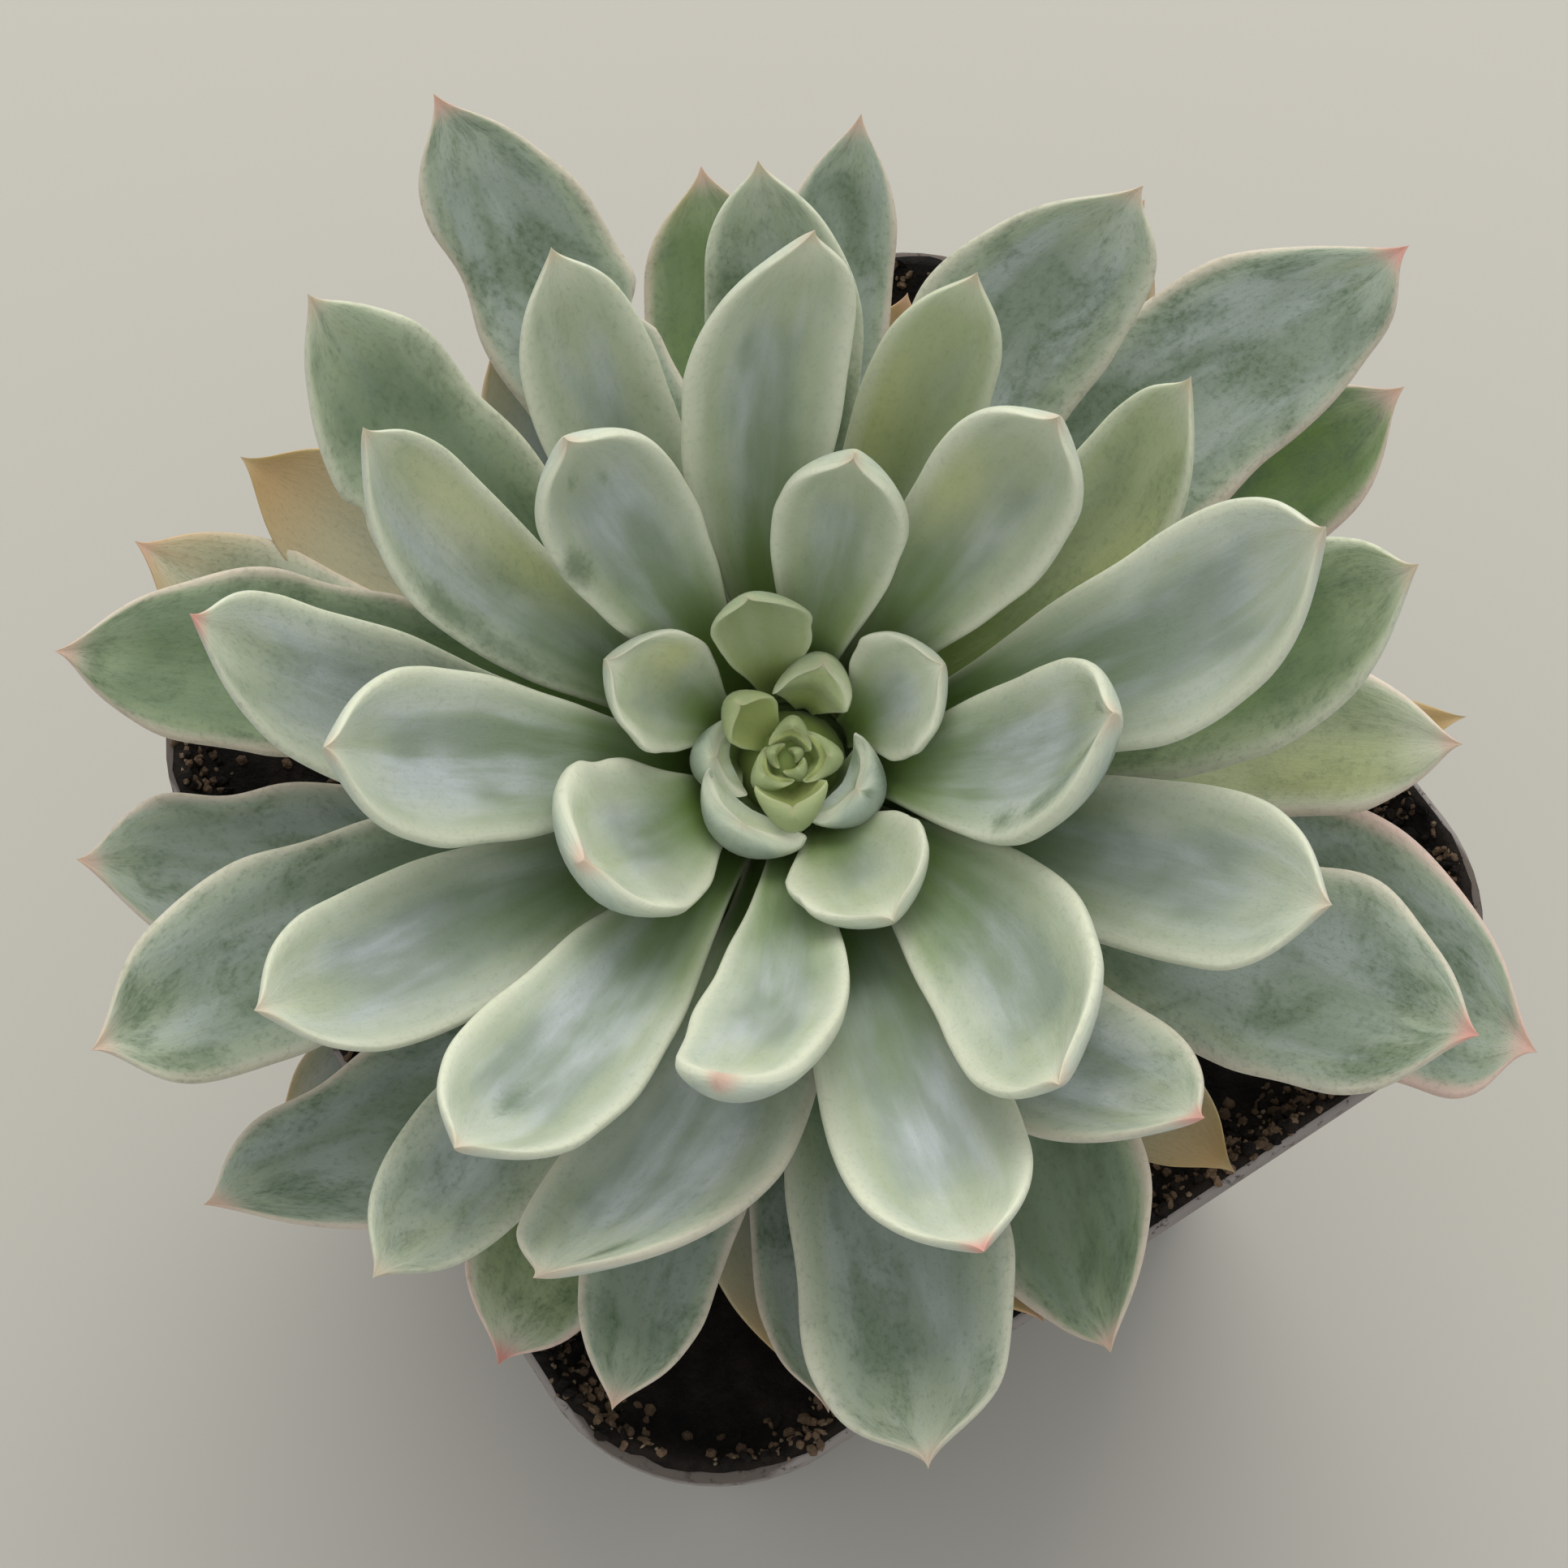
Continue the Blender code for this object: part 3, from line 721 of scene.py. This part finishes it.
def habit_of(number):
    """A leaf's looks from its age, and from its own marks where it has any."""
    old = float(step(number, 34, 50))
    given = {
        "youth": 0.85 * math.exp(-max(0, number - 8) / 4.5),
        "cream": 0.62 - 0.40 * old,
        "mottling": 0.12 + 0.80 * float(step(number, 28, 46)),
        "blush": 0.55 * float(step(number, 38, 50)),
        "tip": 0.25 + 0.25 * old,
        "wave": 0.10 + 0.40 * old,
        "blunt": 0.30 - 0.20 * old,
        "plump": 1.0 + 0.35 * float(1 - step(number, 14, 26)),
        "bulb": 0.55 * float(1 - step(number, 18, 30)),
        "bloom": 1.0 - 0.35 * float(step(number, 32, 46)),
        # older, lower leaves get more flesh green, which is partly painted shade
        "flesh_and_shade": 0.16 * float(step(number, 36, 46)),
    }
    given.update(MARKS.get(number, {}))
    return Habit(number, **given)


# What single leaves show beyond the rule
# A leaf's flesh value is partly painted shade: deep green where the leaf lies in the shade of
# others
MARKS = {
    9: dict(hook=-25, hook_from=0.5, roll=(0.3, 0.0), blunt=0.9, tip=0, youth=0.65, cream=0.5,
        bulb=0.6, reach=0.76, broad=1.2, plump=1.6, point=0.4),
    10: dict(hook=40, hook_from=0.74, roll=(0.1, 0.2), blunt=0.9, tip=0, cream=0.7, youth=0.3,
        bulb=0.6, reach=0.8, broad=1.1, plump=1.4, point=0.2, patches=((0.8, -0.6, 0.09),)),
    11: dict(hook=40, hook_from=0.74, roll=(0.2, 0.1), blunt=1.0, tip=0, cream=0.5, youth=0.15,
        bulb=0.6, reach=0.8, broad=1.15, plump=1.4, point=0.2, patches=((0.8, 0.6, 0.12),
        (0.62, -0.8, 0.12), (0.93, 0.1, 0.06))),
    12: dict(blunt=0.0, tip=0, cream=0.35, youth=0.6, bulb=0.0, reach=0.93, broad=1.12,
        plump=0.7, point=0.8),
    13: dict(hook=45, hook_from=0.74, roll=(0.0, 0.2), blunt=1.0, tip=0, cream=0.9, youth=0.2,
        bulb=0.6, reach=0.88, broad=1.2, plump=1.2, point=0.25),
    14: dict(hook=-20, hook_from=0.5, roll=(0.1, 0.0), blunt=1.0, tip=0, cream=0.8, youth=0.12,
        bulb=0.5, reach=0.86, broad=1.12, plump=1.0, point=0.3),
    15: dict(hook=-20, hook_from=0.5, roll=(0.1, 0.15), blunt=0.8, tip=0, cream=0.75,
        youth=0.15, bulb=0.5, reach=0.81, broad=1.12, plump=1.0, point=0.6,
        glows=((0.7, -0.5, 0.16),)),
    16: dict(roll=(0.1, 0.1), blunt=0.9, hook=-15, hook_from=0.55, tip=0, cream=0.95, bulb=0.5,
        reach=0.88, broad=1.1, point=0.5, plump=1.0, flesh_and_shade=0.1),
    17: dict(cream=0.8, youth=0.18, blunt=0.05, point=0.7),
    18: dict(hook=32, hook_from=0.76, roll=(0.15, 0.0), blunt=1.0, tip=0.45, cream=0.8,
        bulb=0.6, reach=0.95, broad=1.2, plump=1.1, point=0.25),
    19: dict(blunt=0.7, mottling=0.22, bulb=0.5, bloom=1.5, point=0.4,
        patches=((0.93, 0.35, 0.04), (0.9, -0.4, 0.05), (0.82, -0.6, 0.06), (0.74, -0.7, 0.06),
        (0.6, -0.72, 0.05))),
    20: dict(blunt=0.75, patches=((0.86, 0.25, 0.03), (0.8, -0.1, 0.025), (0.66, 0.8, 0.07))),
    21: dict(hook=40, hook_from=0.82, blunt=0.9, tip=0.6, cream=0.7, bulb=0.7, point=0.25),
    22: dict(blunt=0.55, youth=0.1, cream=0.8, glows=((0.65, 0.5, 0.14),)),
    23: dict(blunt=0.15, bloom=1.6),
    24: dict(blunt=0.4, cream=0.7, bloom=0.85, flesh_and_shade=0.08, mottling=0.2),
    25: dict(cream=0.85, youth=0.1, blunt=0.15),
    26: dict(patches=((0.8, 0.0, 0.06),), cream=0.6, bloom=1.2),
    27: dict(bloom=1.3),
    28: dict(blunt=0.0, patches=((0.5, 0.8, 0.11), (0.66, 0.75, 0.07)), mottling=0.25,
        glows=((0.75, -0.45, 0.16), (0.5, -0.6, 0.12))),
    29: dict(tip=0.9, cream=0.7),
    30: dict(youth=0.4, cream=0.8, blunt=0.0, bloom=0.6, glows=((0.6, 0.6, 0.2),)),
    32: dict(cream=0.7),
    33: dict(youth=0.12, cream=0.9, blunt=0.05),
    34: dict(blush=0.3, patches=((0.9, 0.45, 0.04),)),
    35: dict(youth=0.4, cream=0.8, blunt=0.0, bloom=0.6, glows=((0.6, -0.6, 0.2),)),
    36: dict(tip=0.9),
    37: dict(tip=0.9, blush=0.3),
    38: dict(flesh_and_shade=0.3, patches=((0.7, 0.7, 0.12), (0.5, -0.7, 0.12))),
    40: dict(flesh_and_shade=0.8, bloom=0.3),
    41: dict(flesh_and_shade=0.55, dent=(0.7, 1, 1.0), wave=0.8),
    42: dict(blunt=0.7, point=0.9, mottling=0.75),
    45: dict(tip=0.9, wave=0.6),
    46: dict(dent=(0.6, -1, 1.6), tip=0.7, wave=0.7),
    48: dict(tip=0.9),
    49: dict(flesh_and_shade=0.65),
    50: dict(flesh_and_shade=0.5),
    53: dict(scars=((0.55, -0.9, 0.03),), cream=0.9, mottling=0.45, flesh_and_shade=0.25, youth=0.15,
        glows=((0.75, -0.6, 0.2),)),
    54: dict(dry=0.25, mottling=0.3, cream=0.6, flesh_and_shade=0.0),
    56: dict(dry=0.3, blush=1.0),
    58: dict(blunt=1.0, broad=1.12, blush=1.0, tip=0.6, point=0.45),
    59: dict(dry=0.12, flesh_and_shade=0.85, bloom=0.1),
    60: dict(tip=1.0, blush=0.9, cream=0.8, flesh_and_shade=1.5, bloom=0.0, blunt=0.6, broad=1.12),
    61: dict(flesh_and_shade=0.95, bloom=0.0, blush=0.8),
    62: dict(dry=0.28, blush=0.8, cream=0.8),
    63: dict(dry=0.5),
    64: dict(dry=0.55),
}

# The closed leaves of the growing tip, youngest first: reach, depth, length, width, tilt
# and cup
BUD_LEAVES = (
    (0.15, 0.8, 3.0, 1.3, 88, 0.4), (0.60, 0.8, 3.2, 2.0, 86, 0.6),
    (0.60, 0.8, 3.3, 2.0, 86, 0.5), (0.95, 0.9, 4.2, 3.3, 78, 0.8),
    (1.05, 1.0, 4.4, 3.5, 76, 0.8), (1.20, 1.1, 4.9, 4.0, 72, 0.8),
    (1.60, 1.6, 7.7, 4.8, 63, 0.5), (1.60, 1.6, 6.5, 5.6, 66, 0.7))

# The oldest leaves, half dried and too many to be solids of their own: turn off the
# spiral, length, width, tilt, bend of the tip, and how dry
SHED_LEAVES = {
    65: (0, 46, 12, 6, 0, 0.22), 66: (3.5, 41, 15, 11, 0, 0.12), 67: (19, 48, 14, 8, 0, 0.58),
    68: (4, 45, 15, 14, 0, 0.42), 71: (-4, 44, 10, 16, 0, 0.80), 74: (-11, 51, 9, 15, 0, 0.80)}


def main():
    """Make every piece, from the leaves down to the floor."""
    stem_top, axis = stem_axis()
    tip = stem_top + axis * TIP_OVER_STEM
    above = tip + axis * 25 * MM
    numbers = sorted(int(name[5:]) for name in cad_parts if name.startswith("leaf_"))
    skeletons = {number: skeleton_of(f"leaf_{number:02d}", above) for number in numbers}
    oldest = skeletons[numbers[-1]]
    rosette = Rosette(tip, axis, oldest.middle[4] - oldest.middle[0])
    skin = leaf_finish()

    for number in numbers:
        bm = bmesh.new()
        add_leaf(bm, skeletons[number], habit_of(number))
        piece_from(bm, f"leaf_{number:02d}_skin", skin, f"leaf_{number:02d}")

    make_heart(rosette, skeletons[MODEL_LEAF], skin, numbers[-1])
    make_shed_leaves(rosette, skeletons[MODEL_LEAF], skin, numbers[-1])
    make_stem(rosette)
    make_pot()
    make_soil()
    make_stage()


def spiral_turn(number, oldest):
    """The turn of a leaf in the spiral, in degrees from the oldest one."""
    return LEAF_TURN * (number - oldest)


def make_heart(rosette, model, skin, oldest):
    """The closed leaves, leaning a little to the side that the whole plant faces."""
    bm = bmesh.new()
    lean = rosette.east * math.cos(HEART_LEAN) + rosette.north * math.sin(HEART_LEAN)
    rosette = Rosette(rosette.top - rosette.axis * HEART_DROP + lean * HEART_SHIFT,
                      rosette.axis, rosette.east)
    for number, (reach, depth, length, width, tilt, cup) in enumerate(BUD_LEAVES, start=1):
        thick = 0.40 * width + 0.5
        skeleton = rosette.leaf(model, spiral_turn(number, oldest), reach, depth, length,
                                width, thick, tilt, bow=0.16, cup=cup)
        hook = 40 if number < 7 else 0
        habit = Habit(number, youth=0.9, cream=0.35, blunt=0.4, hook=hook, hook_from=0.7)
        add_leaf(bm, skeleton, habit, rings=40, sides=28)
    core = bmesh.ops.create_uvsphere(bm, u_segments=24, v_segments=16, radius=CORE_RADIUS)
    place = rosette.top - rosette.axis * CORE_DEPTH
    bmesh.ops.translate(bm, vec=Vector(place), verts=core["verts"])
    tone = bm.verts.layers.float_vector["leaf_tone"]
    for vert in core["verts"]:
        vert[tone] = (0.9, 0.0, 0.0)
    piece_from(bm, "closed_leaves", skin, "growing_tip")


def make_shed_leaves(rosette, model, skin, oldest):
    """The oldest, half dried leaves under the rosette."""
    for number, (nudge, length, width, tilt, bend, dry) in SHED_LEAVES.items():
        turn = spiral_turn(number, oldest) + nudge
        skeleton = rosette.leaf(model, turn, SHED_REACH, SHED_DEPTH, length, width,
                                0.13 * width, tilt, bow=0.05, cup=0.15, bend=bend)
        habit = Habit(number, dry=dry, blush=0.9, cream=0.3, mottling=0.5, wave=0.5)
        bm = bmesh.new()
        add_leaf(bm, skeleton, habit)
        piece_from(bm, f"dried_leaf_{number}", skin)


def make_stem(rosette):
    """A turned stem, lumpy with leaf scars, along the rosette's axis down into the soil."""
    rings, sides = 90, 56
    foot = Vector(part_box("stem")[0]).z
    length = (rosette.top[2] - foot) / rosette.axis[2] - STEM_ABOVE_FOOT
    bm = bmesh.new()
    grid = []
    for ring in range(rings + 1):
        depth = TIP_OVER_STEM + length * ring / rings
        share = min(1.0, depth / STEM_DOME)
        radius = STEM_RADIUS * math.sqrt(share * (2 - share))
        row = []
        for side in range(sides):
            angle = 2 * math.pi * side / sides
            out = rosette.east * math.cos(angle) + rosette.north * math.sin(angle)
            lump = noise.noise(Vector((math.cos(angle) * 2, math.sin(angle) * 2,
                                       depth / MM * 0.8)))
            point = rosette.top - rosette.axis * depth + out * (radius + STEM_LUMP * lump)
            row.append(bm.verts.new(point))
        grid.append(row)
    for lower, upper in zip(grid, grid[1:]):
        for s in range(sides):
            k = (s + 1) % sides
            bm.faces.new((lower[s], upper[s], upper[k], lower[k]))
    bm.faces.new(grid[0])
    bm.faces.new(grid[-1])
    piece_from(bm, "woody_stem", stem_finish(), "stem")


# ---- pot and soil

def rounded_square(half, corner, z, steps=CORNER_STEPS):
    """Points round a square with rounded corners, anticlockwise from above."""
    points = []
    for quarter in range(4):
        middle = math.radians(45 + 90 * quarter)
        cx = (half - corner) * math.copysign(1, math.cos(middle))
        cy = (half - corner) * math.copysign(1, math.sin(middle))
        for k in range(steps + 1):
            angle = math.radians(90 * quarter + 90 * k / steps)
            points.append((cx + corner * math.cos(angle), cy + corner * math.sin(angle), z))
    return points


def loft(bm, sections):
    """Skin a row of closed sections and close both ends. Gives the rings of corners."""
    rings = [[bm.verts.new(point) for point in section] for section in sections]
    count = len(rings[0])
    for lower, upper in zip(rings, rings[1:]):
        for i in range(count):
            k = (i + 1) % count
            bm.faces.new((lower[i], lower[k], upper[k], upper[i]))
    bm.faces.new(rings[0][::-1])
    bm.faces.new(rings[-1])
    return rings


def fillet(start, corner, end, steps=4):
    """Points (half width, height) that round the corner between two straight runs."""
    return [((1 - t) ** 2 * start[0] + 2 * t * (1 - t) * corner[0] + t * t * end[0],
             (1 - t) ** 2 * start[1] + 2 * t * (1 - t) * corner[1] + t * t * end[1])
            for t in (k / steps for k in range(steps + 1))]


def wall_at(z):
    """Half the outer width of the pot's wall at a height."""
    foot, mouth = POT_TAPER[0] / 2, POT_TAPER[1] / 2
    return foot + (mouth - foot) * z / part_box("pot")[1].z


def pot_profile():
    """The pot's section: half width and height, from the foot up the outside, over the
    rolled lip and down the inside."""
    top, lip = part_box("pot")[1].z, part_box("pot")[1].x
    under = top - LIP_HEIGHT
    inner = lip - LIP_WIDTH
    run = fillet((wall_at(0) - 2 * MM, 0), (wall_at(0), 0), (wall_at(1.6 * MM), 1.6 * MM))
    run += [(wall_at(z * MM), z * MM) for z in (6, 20, 35, 50, 62, 70)]
    run += fillet((wall_at(under - 1.4 * MM), under - 1.4 * MM), (wall_at(under), under),
                  (lip - 0.3 * MM, under + 0.1 * MM))
    run += fillet((lip - 0.3 * MM, under + 0.1 * MM), (lip, under + 0.2 * MM),
                  (lip, under + 0.6 * MM), 3)
    run += fillet((lip, top - 0.7 * MM), (lip, top), (lip - 0.7 * MM, top))
    run += fillet((inner + 0.6 * MM, top), (inner, top), (inner, top - 0.6 * MM))
    run += [(inner, top - 1.4 * MM)]
    run += [(wall_at(z * MM) - POT_WALL, z * MM) for z in (77, 72, 60, 40, 20, 5)]
    low, inside = POT_FLOOR + 1.4 * MM, wall_at(POT_FLOOR)
    run += fillet((wall_at(low) - POT_WALL, low), (inside - POT_WALL, POT_FLOOR),
                  (inside - 3 * MM, POT_FLOOR))
    return run


def make_pot():
    """The thin-walled nursery pot with its four drain holes."""
    bm = bmesh.new()
    loft(bm, [rounded_square(half, POT_CORNER * 2 * half, z) for half, z in pot_profile()])
    body = piece_from(bm, "nursery_pot", pot_finish(), "pot")
    body.data.set_sharp_from_angle(angle=math.radians(50))

    bm = bmesh.new()
    for x in (-HOLE_PLACE, HOLE_PLACE):
        for y in (-HOLE_PLACE, HOLE_PLACE):
            hole = bmesh.ops.create_cone(bm, cap_ends=True, segments=32, depth=4 * POT_FLOOR,
                                         radius1=HOLE_RADIUS, radius2=HOLE_RADIUS)
            bmesh.ops.translate(bm, vec=(x, y, 0), verts=hole["verts"])
    mesh = bpy.data.meshes.new("drain_holes")
    bm.to_mesh(mesh)
    bm.free()
    holes = bpy.data.objects.new("drain_holes", mesh)
    bpy.context.scene.collection.objects.link(holes)
    cut = body.modifiers.new("drain", "BOOLEAN")
    cut.object = holes
    cut.solver = "EXACT"
    bake(body)
    bpy.data.objects.remove(holes)


def bake(made):
    """Turn an object's modifiers into its plain mesh."""
    graph = bpy.context.evaluated_depsgraph_get()
    graph.update()
    mesh = bpy.data.meshes.new_from_object(made.evaluated_get(graph))
    made.modifiers.clear()
    made.data = mesh
    mesh.name = made.name


def soil_height(share):
    """How high the soil's surface is over its own average, as a share of the way from the
    stem to the wall."""
    height = smooth_curve(np.array(SOIL_HOLLOW), np.array(SOIL_RELIEF), np.array([share]))
    return float(height[0]) * MM


def make_soil():
    """Peat heaped towards the wall, with a crust that creeps over the inner part of the
    lip, and loose crumbs."""
    low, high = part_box("soil")
    top = high.z - 0.6 * MM
    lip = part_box("pot")[1]
    shelf = lip.x - LIP_WIDTH
    edge = lip.x - LIP_SHOWN
    fit = WALL_OVERLAP - POT_WALL
    side = [(wall_at(low.z) + fit, low.z), (wall_at(40 * MM) + fit, 40 * MM),
            (wall_at(75 * MM) + fit, 75 * MM), (shelf + 0.05 * MM, lip.z - 1.4 * MM)]
    sections = [rounded_square(half, POT_CORNER * 2 * half, z, SOIL_STEPS)
                for half, z in side]
    for ring in range(SOIL_RINGS):
        share = 1 - ring / SOIL_RINGS
        half = edge * share
        bank = lip.z - (shelf - half) * 1.6 + 0.1 * MM
        section = []
        for x, y, z in rounded_square(half, POT_CORNER * 2 * half, top, SOIL_STEPS):
            fray = 0.45 * MM * noise.noise(Vector((x, y, 0)) * 700) if ring == 0 else 0.0
            rough = noise.fractal(Vector((x, y, 0)) * 420, 0.8, 2.1, 5)
            clod = noise.noise(Vector((x + 0.3, y, 0)) * 130)
            height = z + soil_height(share) + 0.55 * MM * rough + 0.9 * MM * clod
            height = max(height, min(bank, lip.z + 0.05 * MM) + (0.2 + 0.1 * rough) * MM)
            grow = 1 + fray / edge
            section.append((x * grow, y * grow, height if ring else lip.z + 0.05 * MM))
        sections.append(section)
    bm = bmesh.new()
    grit = bm.verts.layers.float.new("grit")
    surface = loft(bm, sections)[len(side) + 1:]
    for ring in surface:
        for vert in ring:
            heaped = 0.7 + 0.9 * noise.noise(vert.co * 190)
            share = max(abs(vert.co.x), abs(vert.co.y)) / edge
            vert[grit] = 0.02 + 0.98 * float(step(share, 0.87, 0.95)) * heaped
    dark = soil_finish("damp_peat", (0.003, 0.0025, 0.002), (0.022, 0.016, 0.012))
    soil = piece_from(bm, "peat_soil", dark, "soil")
    brown = soil_finish("dry_crumbs", (0.055, 0.035, 0.022), (0.215, 0.140, 0.085))
    pale = soil_finish("pale_grit", (0.120, 0.085, 0.055), (0.320, 0.235, 0.155))
    for name, material, density, size, seed in (
            ("peat_crumbs", dark, 600000, 0.85, 3), ("dry_crumbs", brown, 1500000, 0.66, 8),
            ("pale_grit", pale, 900000, 0.32, 15)):
        scatter(soil, name, material, density, size * MM, seed)


def scatter(ground, name, material, density, size, seed):
    """Angular grains strewn over the ground where its grit attribute is high."""
    tree = bpy.data.node_groups.new(name, "GeometryNodeTree")
    for label, kind, way in (("Geometry", "NodeSocketGeometry", "INPUT"),
                             ("Grains per square metre", "NodeSocketFloat", "INPUT"),
                             ("Grain size", "NodeSocketFloat", "INPUT"),
                             ("Seed", "NodeSocketInt", "INPUT"),
                             ("Geometry", "NodeSocketGeometry", "OUTPUT")):
        tree.interface.new_socket(label, in_out=way, socket_type=kind)

    def add(kind, inputs=None, **settings):
        made = tree.nodes.new(kind)
        for key, value in settings.items():
            setattr(made, key, value)
        for key, value in (inputs or {}).items():
            if isinstance(value, bpy.types.NodeSocket):
                tree.links.new(value, made.inputs[key])
            else:
                made.inputs[key].default_value = value
        return made

    given = add("NodeGroupInput").outputs
    mask = add("GeometryNodeInputNamedAttribute", {"Name": "grit"}, data_type="FLOAT")
    amount = add("ShaderNodeMath", {0: given["Grains per square metre"],
                                    1: mask.outputs["Attribute"]}, operation="MULTIPLY")
    strew = add("GeometryNodeDistributePointsOnFaces",
                {"Mesh": given["Geometry"], "Density": amount.outputs[0],
                 "Seed": given["Seed"]}, distribute_method="RANDOM")
    grain = add("GeometryNodeMeshIcoSphere", {"Radius": 1.0, "Subdivisions": 2})
    wobble = add("ShaderNodeTexNoise", {"Scale": 1.9})
    shift = add("ShaderNodeVectorMath", {0: wobble.outputs["Color"], 1: (0.5, 0.5, 0.5)},
                operation="SUBTRACT")
    dents = add("ShaderNodeVectorMath", {0: shift.outputs["Vector"], "Scale": 1.3},
                operation="SCALE")
    dented = add("GeometryNodeSetPosition", {"Geometry": grain.outputs["Mesh"],
                                             "Offset": dents.outputs["Vector"]})
    lengths = add("FunctionNodeRandomValue", {0: (0.30, 0.30, 0.30), 1: (1.0, 0.9, 0.9),
                                              "Seed": given["Seed"]},
                  data_type="FLOAT_VECTOR")
    sized = add("ShaderNodeVectorMath", {0: lengths.outputs[0],
                                         "Scale": given["Grain size"]}, operation="SCALE")
    turns = add("FunctionNodeRandomValue", {1: (6.28, 6.28, 6.28)},
                data_type="FLOAT_VECTOR")
    put = add("GeometryNodeInstanceOnPoints", {
        "Points": strew.outputs["Points"], "Instance": dented.outputs["Geometry"],
        "Scale": sized.outputs["Vector"], "Rotation": turns.outputs[0]})
    real = add("GeometryNodeRealizeInstances", {0: put.outputs["Instances"]})
    painted = add("GeometryNodeSetMaterial", {"Geometry": real.outputs[0],
                                              "Material": material})
    add("NodeGroupOutput", {0: painted.outputs[0]})

    made = bpy.data.objects.new(name, ground.data.copy())
    bpy.context.scene.collection.objects.link(made)
    strewn = made.modifiers.new("strewn", "NODES")
    strewn.node_group = tree
    values = {"Grains per square metre": float(density), "Grain size": size, "Seed": seed}
    for item in tree.interface.items_tree:
        if item.in_out == "INPUT" and item.name in values:
            strewn[item.identifier] = values[item.name]
    bake(made)
    settle(made, None)


# ---- floor, light and camera

def make_stage():
    """A plain pale floor, a soft window light from behind, and the camera."""
    bm = bmesh.new()
    bmesh.ops.create_grid(bm, x_segments=1, y_segments=1, size=12.0)
    mesh = bpy.data.meshes.new("floor")
    bm.to_mesh(mesh)
    bm.free()
    floor = bpy.data.objects.new("floor", mesh)
    bpy.context.scene.collection.objects.link(floor)
    floor.location.z = -0.1 * MM
    plain = Finish("pale_floor", {"Base Color": (0.455, 0.435, 0.385, 1), "Roughness": 0.75,
                                  "Specular IOR Level": 0.25})
    mesh.materials.append(plain.material)

    world = bpy.data.worlds.new("soft_daylight")
    bpy.context.scene.world = world
    world.use_nodes = True
    sky = world.node_tree.nodes["Background"]
    sky.inputs["Color"].default_value = (0.96, 0.98, 1.0, 1)
    sky.inputs["Strength"].default_value = 0.80

    far = Vector((-math.sin(HEADING), math.cos(HEADING), 0))
    across = Vector((math.cos(HEADING), math.sin(HEADING), 0))
    lamp = bpy.data.lights.new("window", "AREA")
    lamp.size = 1.1
    lamp.energy = 11.0
    lamp.color = (1.0, 0.985, 0.95)
    window = bpy.data.objects.new("window", lamp)
    window.location = far * 0.80 + Vector((0, 0, 0.90)) + across * 0.05
    aim = Vector((0, 0, 0.09)) - window.location
    window.rotation_euler = aim.to_track_quat("-Z", "Y").to_euler()
    bpy.context.scene.collection.objects.link(window)

    lens = bpy.data.cameras.new("camera")
    lens.lens = CAMERA_LENS
    lens.sensor_width = 36.0
    lens.clip_start = 0.01
    lens.clip_end = 20
    camera = bpy.data.objects.new("camera", lens)
    ahead = far * math.cos(ELEVATION) - Vector((0, 0, math.sin(ELEVATION)))
    camera.location = CAMERA_PLACE
    camera.rotation_euler = ahead.to_track_quat("-Z", "Y").to_euler()
    bpy.context.scene.collection.objects.link(camera)
    bpy.context.scene.camera = camera
    bpy.context.scene.view_settings.view_transform = "Standard"


main()
